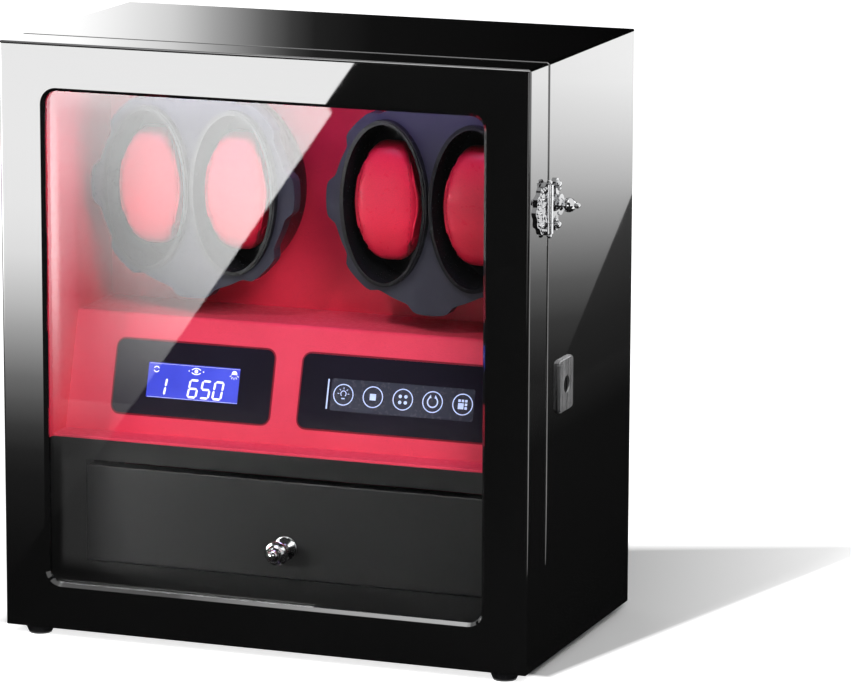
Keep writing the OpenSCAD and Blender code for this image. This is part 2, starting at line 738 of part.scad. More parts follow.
module lock_bolt() color(steel) difference() {
  union() {
    block([x_in + bolt_lo, y_case + near, plug_z - bolt_half],
          [x_in + bolt_hi, plug_y + bolt_tail, plug_z + bolt_half]);
    block([x_in + bolt_lo, plug_y - crank_pin_r - 0.6, plug_z],
          [x_in + bolt_hi, plug_y + bolt_tail, plug_z + bolt_crown]);
  }
  block([x_in, plug_y + crank_at - crank_pin_r - near, plug_z + crank_at - crank_pin_r - near],
        [x_in + panel_t, plug_y + crank_at + crank_pin_r + near,
         plug_z + crank_r + crank_pin_r + near]);
}

module key_plug() color(steel) translate([x_in + bolt_hi + 0.4, plug_y, plug_z]) difference() {
  union() {
    rotate([0, 90, 0]) cylinder(h = panel_t + lock_plate_t - near - bolt_hi - 0.4, r = plug_r);
    translate([-bolt_hi + bolt_lo - 0.2, crank_at, crank_at]) rotate([0, 90, 0])
      cylinder(h = bolt_hi - bolt_lo + 0.3, r = crank_pin_r);
  }
  translate([1.5, -1, -3.4]) cube([panel_t + lock_plate_t, 2, 6.8]);
}

// ---- drawer ----

tray_x = x_stile - 6;
tray_z = z_open + 0.8;
tray_floor = tray_z + 4;
tray_top = z_shelf - 5;
drawer_x = x_stile - 0.5;
drawer_lo = z_open + 0.5;
drawer_h = bay_h - 0.5 - drawer_gap;   // height of the drawer front
drawer_hi = drawer_lo + drawer_h;
front_back = y_face + drawer_front_t;
tray_len = y_back - jack_depth - tray_clear - front_back;   // length of the tray behind the front
tray_back = front_back + tray_len;
knob_z = drawer_lo + max(0.32 * drawer_h, knob_r + 2);
lining_t = 1.2;

module drawer_front() color("#2b2b2e") difference() {
  soft_block([-drawer_x, y_face, drawer_lo], [drawer_x, front_back, drawer_hi], 0.6);
  turned([0, y_face - 1, knob_z], false) square([2.2, drawer_front_t + 2]);
}

module drawer_tray() color(black) difference() {
  block([-tray_x, front_back, tray_z], [tray_x, tray_back, tray_top]);
  block([-tray_x + tray_t, front_back + tray_t, tray_floor],
        [tray_x - tray_t, tray_back - tray_t, tray_top + 1]);
  turned([0, front_back - 1, knob_z], false) square([2.2, tray_t + 2]);
}

module drawer_lining() color("#5d1522") difference() {
  block([-tray_x + tray_t, front_back + tray_t, tray_floor],
        [tray_x - tray_t, tray_back - tray_t, tray_top - 2]);
  block([-tray_x + tray_t + lining_t, front_back + tray_t + lining_t, tray_floor + lining_t],
        [tray_x - tray_t - lining_t, tray_back - tray_t - lining_t, tray_top + 1]);
  turned([0, front_back - 1, knob_z], false) square([4.5, tray_t + 4]);
}

module drawer_knob() color(steel) turned([0, y_face, knob_z]) difference() {
  polygon(concat(
    [[0, 0], [knob_r, 0]], arc([knob_r - 1, 1.2], 1, 0, 80, 4),
    [[3.4, 3.6], [3, 5.5], [3.2, knob_len - 14], [knob_r - 2.2, knob_len - 11.4],
     [knob_r - 1.2, knob_len - 10.6]],
    arc([knob_r - 1.2, knob_len - 9], 1.2, -60, 70, 5),
    [[knob_r - 2, knob_len - 7.4], [knob_r - 1.9, knob_len - 6], [4.6, knob_len - 5],
     [4.5, knob_len - 4]],
    arc([0, knob_len - 4], 4, 0, 84, 7),
    [[0, knob_len]]
  ));
  square([1.85, 12]);
}

module knob_screw() color(steel) turned([0, front_back + tray_t + lining_t, knob_z])
  polygon([[0, -2.2], [2.4, -2.2], [3.8, -0.8], [3.8, lining_t - eps], [1.75, lining_t - eps],
           [1.75, tray_t + lining_t + drawer_front_t + 10], [0, tray_t + lining_t + drawer_front_t + 10]]);

guide_h = 26;                          // height of the guides beside the tray
guide_w = 12;                          // width of the runners under the tray

module drawer_guides() color("#4a3728") both_sides() along_y(y_face + face_t, y_panel - batten)
  polygon([[tray_x - guide_w, z_floor], [x_in, z_floor], [x_in, z_open + guide_h],
           [tray_x + near, z_open + guide_h], [tray_x + near, z_open + 0.5],
           [tray_x - guide_w, z_open + 0.5]]);

// ---- rotors ----

left = -rotor_pitch / 2;
right = rotor_pitch / 2;

cup_rim = 2.6;                         // width of the collar round a cup
cup_lip = 0.9;                         // height of the lip on the collar
hub_r = 9;
hub_back = rotor_reach - near;
dome_r = 12;

// Radius of the rotor face at an angle: flat lobes and flat notches joined by smooth steps
function lobed(a) = notch_r + (lobe_r - notch_r) / (1 + exp(-7 * cos(lobes * a)));

// Children turned about the rotor axis, with depth counted back from the front of the rotor
module on_rotor(cx) turned([cx, y_rotor, rotor_z], false) children();

// Solid from an outline about the rotor axis, between two depths behind its front
module rotor_slab(cx, d0, d1) along_y(y_rotor + d0, y_rotor + d1) translate([cx, rotor_z]) children();

// Outline of the lobed rim
module lobed_disc() polygon([for (i = [0:191]) lobed(i * 1.875) * [cos(i * 1.875), sin(i * 1.875)]]);

module rotor_face(cx) color(slate) {
  rotor_slab(cx, cup_proud, cup_proud + face_plate_t) difference() {
    lobed_disc();
    for (s = [-1, 1]) translate([s * cup_pitch / 2, 0]) polygon(oval(cup_a + 0.1, cup_b + 0.1));
  }
  rotor_slab(cx, cup_proud + face_plate_t - eps, cup_proud + rim_d) difference() {
    lobed_disc();
    circle(r = drum_r - drum_t);
  }
}

module cups(cx) color(black) for (s = [-1, 1]) {
  rotor_slab(cx, -cup_lip, eps) translate([s * cup_pitch / 2, 0]) difference() {
    polygon(oval(cup_w / 2 + cup_rim - cup_lip, cup_h / 2 + cup_rim - cup_lip));
    polygon(oval(cup_w / 2, cup_h / 2));
  }
  rotor_slab(cx, 0, cup_proud) translate([s * cup_pitch / 2, 0]) difference() {
    polygon(oval(cup_w / 2 + cup_rim, cup_h / 2 + cup_rim));
    polygon(oval(cup_w / 2, cup_h / 2));
  }
  difference() {
    rotor_slab(cx, cup_proud - eps, cup_d + cup_t) translate([s * cup_pitch / 2, 0])
      polygon(oval(cup_a, cup_b));
    rotor_slab(cx, cup_proud - 1, cup_d) translate([s * cup_pitch / 2, 0])
      polygon(oval(cup_w / 2, cup_h / 2));
  }
}

drum_turn = cup_d + 1;                 // depth at which the drum rounds over to its back
drum_back = drum_turn + dome_r;
hub_front = cup_d + cup_t + 0.6;

module drum(cx) color(black) on_rotor(cx) polygon(concat(
  [[drum_r, cup_proud + rim_d]],
  arc([drum_r - drum_draft - dome_r, drum_turn], dome_r, 0, 90, 8),
  [[hub_r, drum_back], [hub_r, hub_back], [shaft_r + 0.05, hub_back], [shaft_r + 0.05, hub_front],
   [hub_r, hub_front], [hub_r, drum_back - drum_t]],
  arc([drum_r - drum_draft - dome_r, drum_turn], dome_r - drum_t, 90, 0, 8),
  [[drum_r - drum_t, cup_proud + rim_d]]
));

gear_y = y_bay + 2;
plate_set = 10.5;                      // distance of the motor plates behind the motor board
plate_y = y_bay + plate_set;
plate_t = 2;
centre = gear_m * (gear_teeth + pinion_teeth) / 2;   // gear axis to pinion axis

module shaft(cx) color(steel) translate([cx, y_rotor + hub_front + 0.2, rotor_z]) rotate([-90, 0, 0])
  cylinder(h = plate_y + plate_t + 1.6 - y_rotor - hub_front, r = shaft_r);

// Watch pillow: an oval seen from the front, a rounded block seen from the side
module pillows(cx) color("#d02030") for (s = [-1, 1]) intersection() {
  along_y(y_cup - near - pillow_t, y_cup - near) translate([cx + s * cup_pitch / 2, rotor_z])
    polygon(oval(pillow_w / 2, pillow_h / 2 + 7, 48));
  along_x(cx + s * cup_pitch / 2 - pillow_w / 2, cx + s * cup_pitch / 2 + pillow_w / 2)
    translate([y_cup - near - pillow_t / 2, rotor_z])
    polygon([for (i = [0:47]) let (c = cos(i * 7.5), d = sin(i * 7.5))
      [pillow_t / 2 * sign(c) * pow(abs(c), 0.7), pillow_h / 2 * sign(d) * pow(abs(d), 0.8)]]);
}

// ---- drives ----

pressure = 25;                         // pressure angle of the teeth
backlash = 0.3;                        // total play at the pitch circle

function involute(a) = tan(a) * 180 / PI - a;

// Outline of a spur gear with a tooth on its X axis; add and ded are in modules
function gear_outline(z, add, ded, steps = 4) =
  let (rp = gear_m * z / 2, rb = rp * cos(pressure), ra = rp + add * gear_m, rf = rp - ded * gear_m,
       rs = max(rb, rf), half = 90 / z - backlash / 4 / rp * 180 / PI,
       at = function (r) half + involute(pressure) - involute(acos(min(1, rb / r))),
       up = [for (i = [0:steps]) rs + (ra - rs) * i / steps])
  [for (t = [0:z - 1]) let (c = 360 * t / z) each concat(
    rb > rf ? [rf * [cos(c - at(rs)), sin(c - at(rs))]] : [],
    [for (r = up) r * [cos(c - at(r)), sin(c - at(r))]],
    [for (i = [steps:-1:0]) up[i] * [cos(c + at(up[i])), sin(c + at(up[i]))]],
    rb > rf ? [rf * [cos(c + at(rs)), sin(c + at(rs))]] : [])];

module rotor_gear(cx) color("#d9d2bd") {
  along_y(gear_y, gear_y + gear_t) translate([cx, rotor_z]) difference() {
    polygon(gear_outline(gear_teeth, 0.8, 1.1));
    circle(r = shaft_r + 0.05);
    for (i = [0:5]) rotate(30 + 60 * i) translate([18, 0]) circle(r = 5.5);
  }
  along_y(gear_y + gear_t - eps, gear_y + gear_t + 2.5) translate([cx, rotor_z]) difference() {
    circle(r = 7);
    circle(r = shaft_r + 0.05);
  }
}

output_r = 2;

module pinion(cx) color("#d9d2bd") translate([cx, 0, rotor_z - centre]) {
  along_y(gear_y - 0.5, gear_y + gear_t + 0.5) rotate(90 + 180 / pinion_teeth)
    polygon(gear_outline(pinion_teeth, 1, 1.1));
  along_y(gear_y + gear_t, plate_y - near) circle(r = 5);
  along_y(plate_y - 1, plate_y + plate_t + 4) circle(r = output_r);
}

plate_x = 33;                          // spacers, from the rotor axis
plate_up = 21;
plate_down = -centre - plate_up;
plate_edge = 5;                        // plate outside the spacers
spacer_r = 3.5;
vent_x = 22;                           // holes beside the gearmotor
vent_r = 6;

module motor_plates() color(steel) for (cx = [left, right]) {
  along_y(plate_y, plate_y + plate_t) difference() {
    translate([cx, rotor_z]) rounded([-plate_x - plate_edge, plate_down - plate_edge],
                                     [plate_x + plate_edge, plate_up + plate_edge], plate_edge);
    translate([cx, rotor_z]) circle(r = bush_r + 0.05);
    translate([cx, rotor_z - centre]) circle(r = 5.2);
    for (x = [-vent_x, vent_x]) translate([cx + x, rotor_z - centre + 4]) circle(r = vent_r);
  }
  for (x = [-plate_x, plate_x], z = [plate_down, plate_up])
    along_y(y_bay, plate_y + eps) translate([cx + x, rotor_z + z]) circle(r = spacer_r);
}

module gearmotors() color("#8d8f93") for (cx = [left, right])
  turned([cx, plate_y, rotor_z - centre], false) polygon([
    [output_r + fit, 0.2], [5, 0.2], [5, plate_t], [motor_r, plate_t], [motor_r, plate_t + 9.5],
    [motor_r - 0.8, plate_t + 10], [motor_r - 0.8, plate_t + motor_len - 1],
    [motor_r - 1.8, plate_t + motor_len],
    [3, plate_t + motor_len], [3, plate_t + motor_len + 1.5], [0, plate_t + motor_len + 1.5],
    [0, plate_t + 5], [output_r + fit, plate_t + 5]]);

module rotor_bushes() color("#b08d4a") for (cx = [left, right]) {
  turned([cx, y_board, rotor_z], false) polygon([
    [shaft_r + fit, -near / 2], [bush_rim, -near / 2], [bush_rim, 0], [bush_r, 0], [bush_r, board_t],
    [shaft_r + fit, board_t]]);
  turned([cx, plate_y, rotor_z], false) polygon([
    [shaft_r + fit, 0], [bush_r, 0], [bush_r, plate_t], [bush_rim, plate_t],
    [bush_rim, plate_t + bush_head], [shaft_r + fit, plate_t + bush_head]]);
}

module left_rotor_face() rotor_face(left);
module left_cups() cups(left);
module left_drum() drum(left);
module left_shaft() shaft(left);
module left_gear() rotor_gear(left);
module left_pillows() pillows(left);
module left_pinion() pinion(left);
module right_rotor_face() rotor_face(right);
module right_cups() cups(right);
module right_drum() drum(right);
module right_shaft() shaft(right);
module right_gear() rotor_gear(right);
module right_pillows() pillows(right);
module right_pinion() pinion(right);

case_top();
case_bottom();
case_left();
case_right();
back_panel();
back_battens();
back_screws();
case_feet();
foot_screws();
face_frame();
shelf_board();
side_liners();
top_liner();
motor_board();
console();
display_glass();
lcd_module();
touch_glass();
touch_board();
control_board();
light_channel();
light_lens();
dc_jack();
case_hinge_leaves();
catch_plate();
lock_body();
lock_plate();
drawer_guides();
motor_plates();
gearmotors();
rotor_bushes();
door_frame();
door_glass();
glass_beads();
door_hinge_leaves();
hinge_pins();
door_feet();
latch_plate();
latch_hasp();
key_plug();
lock_bolt();
drawer_front();
drawer_tray();
drawer_lining();
drawer_knob();
knob_screw();
left_rotor_face();
left_cups();
left_drum();
left_shaft();
left_gear();
left_pillows();
left_pinion();
right_rotor_face();
right_cups();
right_drum();
right_shaft();
right_gear();
right_pillows();
right_pinion();
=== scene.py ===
"""Watch winder box: finishes, soft goods, display marks, small hardware, light and camera."""

import json
import math

import bmesh
import bpy
from mathutils import Matrix, Vector
from mathutils.bvhtree import BVHTree

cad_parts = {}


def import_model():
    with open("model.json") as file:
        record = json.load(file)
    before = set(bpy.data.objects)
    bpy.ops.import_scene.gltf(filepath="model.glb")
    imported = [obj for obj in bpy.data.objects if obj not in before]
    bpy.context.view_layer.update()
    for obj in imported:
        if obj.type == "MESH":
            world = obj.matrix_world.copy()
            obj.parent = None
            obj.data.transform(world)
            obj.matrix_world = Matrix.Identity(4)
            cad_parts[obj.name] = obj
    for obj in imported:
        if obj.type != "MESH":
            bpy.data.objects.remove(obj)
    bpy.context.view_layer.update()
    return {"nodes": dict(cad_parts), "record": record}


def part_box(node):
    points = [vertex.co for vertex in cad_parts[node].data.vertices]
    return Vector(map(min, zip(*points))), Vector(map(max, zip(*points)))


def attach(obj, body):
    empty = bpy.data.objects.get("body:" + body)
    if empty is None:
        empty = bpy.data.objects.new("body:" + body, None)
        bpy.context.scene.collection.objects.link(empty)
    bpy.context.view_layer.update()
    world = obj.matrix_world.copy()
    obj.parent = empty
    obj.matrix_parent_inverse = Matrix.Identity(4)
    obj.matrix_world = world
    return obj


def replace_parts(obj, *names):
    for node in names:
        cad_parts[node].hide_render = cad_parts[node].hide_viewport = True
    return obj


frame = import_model()
nodes = frame["nodes"]
MM = 0.001


def span(name):
    """Lowest and highest corner of a CAD node at rest, in millimetres."""
    low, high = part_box(name)
    return Vector(low) / MM, Vector(high) / MM


def point(x, y, z):
    """A point given in millimetres."""
    return Vector((x, y, z)) * MM


def linked(name, data):
    """A new object in the scene."""
    thing = bpy.data.objects.new(name, data)
    bpy.context.scene.collection.objects.link(thing)
    return thing


def aimed(place, aim):
    """A matrix at place whose -Z axis points along aim."""
    return Matrix.Translation(place) @ Vector(aim).to_track_quat("-Z", "Y").to_matrix().to_4x4()


def node_material(name):
    """A material with an empty node tree."""
    made = bpy.data.materials.new(name)
    made.use_nodes = True
    made.node_tree.nodes.clear()
    return made


# ---- camera ----


CAMERA_PLACE = (1.05215, -2.62912, 0.74337)
CAMERA_TARGET = (0.05894, 0.02011, 0.17062)
LENS, SENSOR, ROLL = 206.9, 36, 0.2     # millimetres, millimetres, degrees


def aim_camera():
    """A camera with no shift, turned by ROLL about its own axis."""
    data = bpy.data.cameras.new("camera")
    data.lens, data.sensor_width, data.sensor_fit = LENS, SENSOR, "HORIZONTAL"
    data.clip_start, data.clip_end = 0.05, 60
    cam = linked("camera", data)
    look = aimed(CAMERA_PLACE, Vector(CAMERA_TARGET) - Vector(CAMERA_PLACE))
    cam.matrix_world = look @ Matrix.Rotation(math.radians(ROLL), 4, "Z")
    bpy.context.scene.camera = cam


aim_camera()

# ---- material building ----


class Finish:
    """A node material on one Principled shader, with the few patterns that the box needs."""

    def __init__(self, name, **sockets):
        self.mat = node_material(name)
        self.tree = self.mat.node_tree
        self.out = self.add("ShaderNodeOutputMaterial")
        self.bsdf = self.add("ShaderNodeBsdfPrincipled")
        self.link(self.bsdf, 0, self.out, "Surface")
        for key, value in sockets.items():
            socket = self.bsdf.inputs[key.replace("_", " ")]
            socket.default_value = (*value, 1) if isinstance(value, tuple) else value
        self.coord = self.add("ShaderNodeTexCoord")

    def add(self, kind, inputs=None, **props):
        """A node with its properties and the values on its sockets."""
        node = self.tree.nodes.new(kind)
        for key, value in props.items():
            setattr(node, key, value)
        for key, value in (inputs or {}).items():
            node.inputs[key].default_value = value
        return node

    def link(self, a, out, b, inp):
        self.tree.links.new(a.outputs[out], b.inputs[inp])

    def mapped(self, scale=(1, 1, 1)):
        """Object coordinates, stretched."""
        node = self.add("ShaderNodeMapping", {"Scale": scale})
        self.link(self.coord, "Object", node, "Vector")
        return node

    def noise(self, scale, detail=3.0, rough=0.5, stretch=(1, 1, 1)):
        node = self.add("ShaderNodeTexNoise", {"Scale": scale, "Detail": detail, "Roughness": rough})
        self.link(self.mapped(stretch), 0, node, "Vector")
        return node

    def cells(self, scale):
        """Distance to the edges of scattered cells."""
        node = self.add("ShaderNodeTexVoronoi", {"Scale": scale}, feature="DISTANCE_TO_EDGE")
        self.link(self.mapped(), 0, node, "Vector")
        return node

    def ramp(self, source, out, stops):
        """Colours or greys along a value."""
        node = self.add("ShaderNodeValToRGB")
        while len(node.color_ramp.elements) < len(stops):
            node.color_ramp.elements.new(0.5)
        for element, (place, value) in zip(node.color_ramp.elements, stops):
            element.position = place
            element.color = (*value, 1) if isinstance(value, tuple) else (value, value, value, 1)
        self.link(source, out, node, "Fac")
        return node

    def vary(self, key, source, out, stops):
        """Drives a socket of the shader from a pattern."""
        self.link(self.ramp(source, out, stops), "Color", self.bsdf, key)

    def mottle(self, key, scale, detail, low, high):
        """Drives a socket of the shader from noise, between two colours or two values."""
        self.vary(key, self.noise(scale, detail), "Fac", [(0.3, low), (0.7, high)])

    def blend(self, factor, a, b, **props):
        """Mixes two colours, each a constant or a (node, output), by a factor of the same kind."""
        node = self.add("ShaderNodeMix", data_type="RGBA", **props)
        for place, value in ((0, factor), (6, a), (7, b)):
            if isinstance(value[0], (int, float)):
                node.inputs[place].default_value = value if place else value[0]
            else:
                self.link(*value, node, place)
        return node

    def bump(self, layers):
        """Stacks bumps: each layer is (node, output, strength, distance in metres)."""
        last = None
        for source, out, strength, distance in layers:
            node = self.add("ShaderNodeBump", {"Strength": strength, "Distance": distance})
            self.link(source, out, node, "Height")
            if last:
                self.link(last, "Normal", node, "Normal")
            last = node
        self.link(last, "Normal", self.bsdf, "Normal")

    def axis_mask(self, axis, low, high):
        """1 between two heights along an axis of the object, 0 outside."""
        split = self.add("ShaderNodeSeparateXYZ")
        self.link(self.coord, "Object", split, "Vector")
        above = self.add("ShaderNodeMath", {1: low}, operation="GREATER_THAN")
        below = self.add("ShaderNodeMath", {1: high}, operation="LESS_THAN")
        both = self.add("ShaderNodeMath", operation="MULTIPLY")
        self.link(split, axis, above, 0)
        self.link(split, axis, below, 0)
        self.link(above, 0, both, 0)
        self.link(below, 0, both, 1)
        return both


def lacquer():
    """Black polyester lacquer, rubbed out by hand: almost a mirror, with faint swirls."""
    f = Finish("lacquer", Roughness=0.02, Coat_Weight=1.0, Coat_Roughness=0.008, IOR=1.5)
    f.mottle("Base Color", 9, 2, 0.003, 0.004)
    f.vary("Roughness", f.noise(60, 4), "Fac", [(0.35, 0.012), (0.75, 0.032)])
    f.bump([(f.noise(34, 2), "Fac", 0.012, 0.0006), (f.noise(700, 2), "Fac", 0.006, 0.00005)])
    return f.mat


def satin_black(name, base, shine, rough):
    """Sprayed satin black, with a fine orange peel."""
    f = Finish(name, Roughness=rough, IOR=1.5, Specular_IOR_Level=shine)
    f.mottle("Base Color", 14, 3, base, base * 1.5)
    f.mottle("Roughness", 420, 4, rough - 0.06, rough + 0.08)
    f.bump([(f.noise(1500, 3), "Fac", 0.08, 0.0001), (f.noise(110, 2), "Fac", 0.04, 0.0003)])
    return f.mat


def leather(name, dark, light, cell=1100, rough=(0.38, 0.55), shine=0.18):
    """Fine grained leatherette: pebbles between creases, with painted shade that darkens the creases a
    little.
    """
    f = Finish(name, IOR=1.46, Specular_IOR_Level=shine, Sheen_Weight=0.03, Sheen_Roughness=0.4)
    grain = f.cells(cell)
    tint = f.ramp(f.noise(22, 4), "Fac", [(0.3, dark), (0.7, light)])
    # painted shade: the edges of the grain's cells are darkened to 0.86 of the colour
    crease_shade = f.ramp(grain, "Distance", [(0.0, 0.86), (0.12, 1.0)])
    mix = f.blend((1.0,), (tint, "Color"), (crease_shade, "Color"), blend_type="MULTIPLY")
    f.link(mix, 2, f.bsdf, "Base Color")
    f.mottle("Roughness", 300, 4, rough[0], rough[1])
    f.bump([(grain, "Distance", 0.22, 0.00012), (f.noise(90, 3), "Fac", 0.08, 0.0004)])
    return f.mat


def moulded(name, dark, light, rough=0.4, grain=0.05, shine=0.2):
    """Moulded plastic with a spark eroded grain."""
    f = Finish(name, IOR=1.5, Specular_IOR_Level=shine)
    f.mottle("Base Color", 30, 3, dark, light)
    f.mottle("Roughness", 500, 4, rough - 0.06, rough + 0.06)
    f.bump([(f.noise(2600, 2), "Fac", grain, 0.00008), (f.noise(70, 2), "Fac", 0.05, 0.0004)])
    return f.mat


def metal(name, dark, light, rough, brush=(1, 1, 1), depth=0.05):
    """Plated or brushed metal with wear in its tone and fine lines along its brushing."""
    f = Finish(name, Metallic=1.0)
    lines = f.noise(900, 5, 0.6, brush)
    f.mottle("Base Color", 45, 4, dark, light)
    f.vary("Roughness", lines, "Fac", [(0.3, rough * 0.7), (0.7, rough * 1.4)])
    f.bump([(lines, "Fac", depth, 0.00004), (f.noise(120, 2), "Fac", 0.03, 0.0002)])
    return f.mat


def softwood():
    """Planed softwood: long grain, late wood rings and open pores."""
    f = Finish("softwood", Roughness=0.62)
    rings = f.add("ShaderNodeTexWave", {"Scale": 60, "Distortion": 5, "Detail": 3, "Detail Scale": 2.5},
                  wave_type="RINGS", rings_direction="Y")
    f.link(f.mapped((1, 0.08, 1.6)), 0, rings, "Vector")
    f.vary("Base Color", rings, "Fac",
           [(0.1, (0.21, 0.13, 0.07)), (0.5, (0.33, 0.21, 0.11)), (0.9, (0.42, 0.29, 0.16))])
    pores = f.noise(1300, 4, 0.6, (1, 0.06, 1))
    f.vary("Roughness", pores, "Fac", [(0.3, 0.5), (0.7, 0.72)])
    f.bump([(rings, "Fac", 0.1, 0.0002), (pores, "Fac", 0.18, 0.0001)])
    return f.mat


def glow(name, colour, strength, base=(0.05, 0.05, 0.06)):
    """Lit plastic: an even glow with a faint mottle."""
    f = Finish(name, Roughness=0.3, Emission_Strength=strength)
    f.mottle("Base Color", 200, 2, base, tuple(c * 1.15 for c in base))
    low = tuple(c * 0.93 for c in colour)
    f.mottle("Emission Color", 120, 3, low, colour)
    return f.mat


CHIPS_Z, CANS_Z = (0.1201, 0.1228), (0.1229, 0.1330)    # heights of chips and cans on the boards, in metres


def circuit():
    """Circuit board: green mask with copper tracks, dark chips and bright cans by height."""
    f = Finish("circuit", Roughness=0.35)
    tracks = f.add("ShaderNodeTexBrick",
                   {"Scale": 160, "Mortar Size": 0.035, "Brick Width": 1.7, "Row Height": 0.31,
                    "Color1": (0.006, 0.075, 0.03, 1), "Color2": (0.008, 0.095, 0.038, 1),
                    "Mortar": (0.03, 0.2, 0.08, 1)},
                   offset=0.37, squash=1.3, squash_frequency=3)
    f.link(f.mapped(), 0, tracks, "Vector")
    chips = f.blend((f.axis_mask("Z", *CHIPS_Z), 0), (tracks, "Color"), (0.012, 0.012, 0.013, 1))
    tops = f.blend((f.axis_mask("Z", *CANS_Z), 0), (chips, 2), (0.32, 0.33, 0.35, 1))
    f.link(tops, 2, f.bsdf, "Base Color")
    f.bump([(tracks, "Fac", 0.25, 0.00008)])
    return f.mat


def screen():
    """Back-lit liquid crystal: a clouded blue with a fine grain."""
    f = Finish("screen", Roughness=0.25, Specular_IOR_Level=0.1, Emission_Strength=0.9)
    f.mottle("Emission Color", 38, 1, (0.055, 0.075, 0.74), (0.085, 0.11, 0.86))
    f.mottle("Base Color", 150, 2, (0.01, 0.012, 0.1), (0.012, 0.016, 0.13))
    f.bump([(f.noise(1800, 1), "Fac", 0.02, 0.00003)])
    return f.mat


def black_glass():
    """Back-painted display glass: deep black with a soft polish."""
    f = Finish("black_glass", Roughness=0.12, IOR=1.45, Specular_IOR_Level=0.1)
    f.mottle("Base Color", 18, 2, (0.009, 0.008, 0.013), (0.012, 0.01, 0.018))
    f.mottle("Roughness", 260, 3, 0.09, 0.16)
    f.bump([(f.noise(45, 1), "Fac", 0.01, 0.0003)])
    return f.mat


def clear_glass():
    """Float glass that shadow and diffuse rays pass straight through, so light reaches the inside."""
    f = Finish("glass", Roughness=0.0, IOR=1.42, Transmission_Weight=1.0)
    f.mottle("Base Color", 5, 1, (0.985, 0.993, 0.99), (0.992, 0.998, 0.996))
    path = f.add("ShaderNodeLightPath")
    either = f.add("ShaderNodeMath", operation="MAXIMUM")
    f.link(path, "Is Shadow Ray", either, 0)
    f.link(path, "Is Diffuse Ray", either, 1)
    clear = f.add("ShaderNodeBsdfTransparent")
    mix = f.add("ShaderNodeMixShader")
    f.link(either, 0, mix, "Fac")
    f.link(f.bsdf, 0, mix, 1)
    f.link(clear, 0, mix, 2)
    f.link(mix, 0, f.out, "Surface")
    return f.mat


def velvet(name, dark, light):
    """Short pile flock."""
    f = Finish(name, Roughness=0.9, Sheen_Weight=0.8, Sheen_Roughness=0.35, Sheen_Tint=(0.9, 0.55, 0.6))
    pile = f.noise(1700, 4, 0.7)
    f.mottle("Base Color", 40, 4, dark, light)
    f.bump([(pile, "Fac", 0.5, 0.0003), (f.noise(120, 3), "Fac", 0.2, 0.0008)])
    return f.mat


RED_DARK, RED_LIGHT = (0.66, 0.042, 0.085), (0.74, 0.052, 0.1)
finishes = {
    "lacquer": lacquer(),
    "satin_black": satin_black("satin_black", 0.004, 0.36, 0.42),
    "drawer_black": satin_black("drawer_black", 0.003, 0.5, 0.42),
    "softwood": softwood(),
    "steel": metal("steel", (0.42, 0.42, 0.43), (0.56, 0.56, 0.57), 0.28, (1, 1, 0.05)),
    "chrome": metal("chrome", (0.6, 0.605, 0.615), (0.7, 0.705, 0.715), 0.07, depth=0.02),
    "nickel": metal("nickel", (0.5, 0.5, 0.51), (0.6, 0.6, 0.61), 0.3, (1, 1, 0.05)),
    "brass": metal("brass", (0.55, 0.36, 0.13), (0.68, 0.47, 0.19), 0.2),
    "rubber": moulded("rubber", (0.009, 0.009, 0.01), (0.016, 0.016, 0.017), 0.22, 0.03, 0.5),
    # red_leather and liner_leather are lit and shaded copies of one red leatherette: the lit copy has more
    # green for the brightly lit console, and the shaded copy has less green, blue and shine for the walls in
    # shade
    "red_leather": leather("red_leather", RED_DARK, RED_LIGHT),
    "pillow_leather": leather("pillow_leather", (0.58, 0.01, 0.035), (0.7, 0.016, 0.052), 900,
                              (0.26, 0.4), 0.25),
    "liner_leather": leather("liner_leather", (0.66, 0.025, 0.06), (0.74, 0.032, 0.072), shine=0.12),
    # painted shade: a dark copy of the red leatherette for the turned edges round the console's glasses
    "edge_leather": leather("edge_leather", (0.16, 0.004, 0.014), (0.22, 0.006, 0.02)),
    "black_glass": black_glass(),
    "screen": screen(),
    "circuit": circuit(),
    "aluminium": metal("aluminium", (0.62, 0.63, 0.65), (0.72, 0.73, 0.75), 0.3, (0.03, 1, 1)),
    "diffuser": glow("diffuser", (0.62, 0.5, 1.0), 5.0, (0.6, 0.58, 0.7)),
    "black_plastic": moulded("black_plastic", (0.005, 0.005, 0.006), (0.009, 0.009, 0.01), 0.22),
    "slate_plastic": moulded("slate_plastic", (0.029, 0.029, 0.041), (0.037, 0.037, 0.051),
                             0.4, 0.06, 0.12),
    "gear_plastic": moulded("gear_plastic", (0.62, 0.58, 0.46), (0.72, 0.68, 0.56), 0.38, 0.03),
    "glass": clear_glass(),
    "lining": velvet("lining", (0.11, 0.008, 0.02), (0.17, 0.014, 0.03)),
    "thread": moulded("thread", (0.34, 0.006, 0.02), (0.46, 0.012, 0.035), 0.6, 0.2),
    "mark_white": glow("mark_white", (0.86, 0.9, 1.0), 1.0, (0.5, 0.5, 0.55)),
    "mark_blue": glow("mark_blue", (0.5, 0.62, 1.0), 0.85, (0.2, 0.22, 0.3)),
    "strip": moulded("strip", (0.024, 0.026, 0.042), (0.03, 0.032, 0.05), 0.25, 0.01),
}

# CAD nodes whose finish is a finer one than their slot names
SPECIAL = dict.fromkeys(("face_frame", "shelf_board", "drawer_tray"), "satin_black")
SPECIAL["drawer_front"] = "drawer_black"
SPECIAL["lock_plate"] = "nickel"
# painted shade: the walls and back board in shade take the deeper copy of the red leatherette
SPECIAL.update(dict.fromkeys(("motor_board", "side_liners", "top_liner"), "liner_leather"))
for part in frame["record"]["subparts"]:
    name = part["node"]
    for holder in nodes[name].material_slots:
        holder.material = finishes[SPECIAL.get(name, part["material_slot"])]

# ---- mesh helpers ----


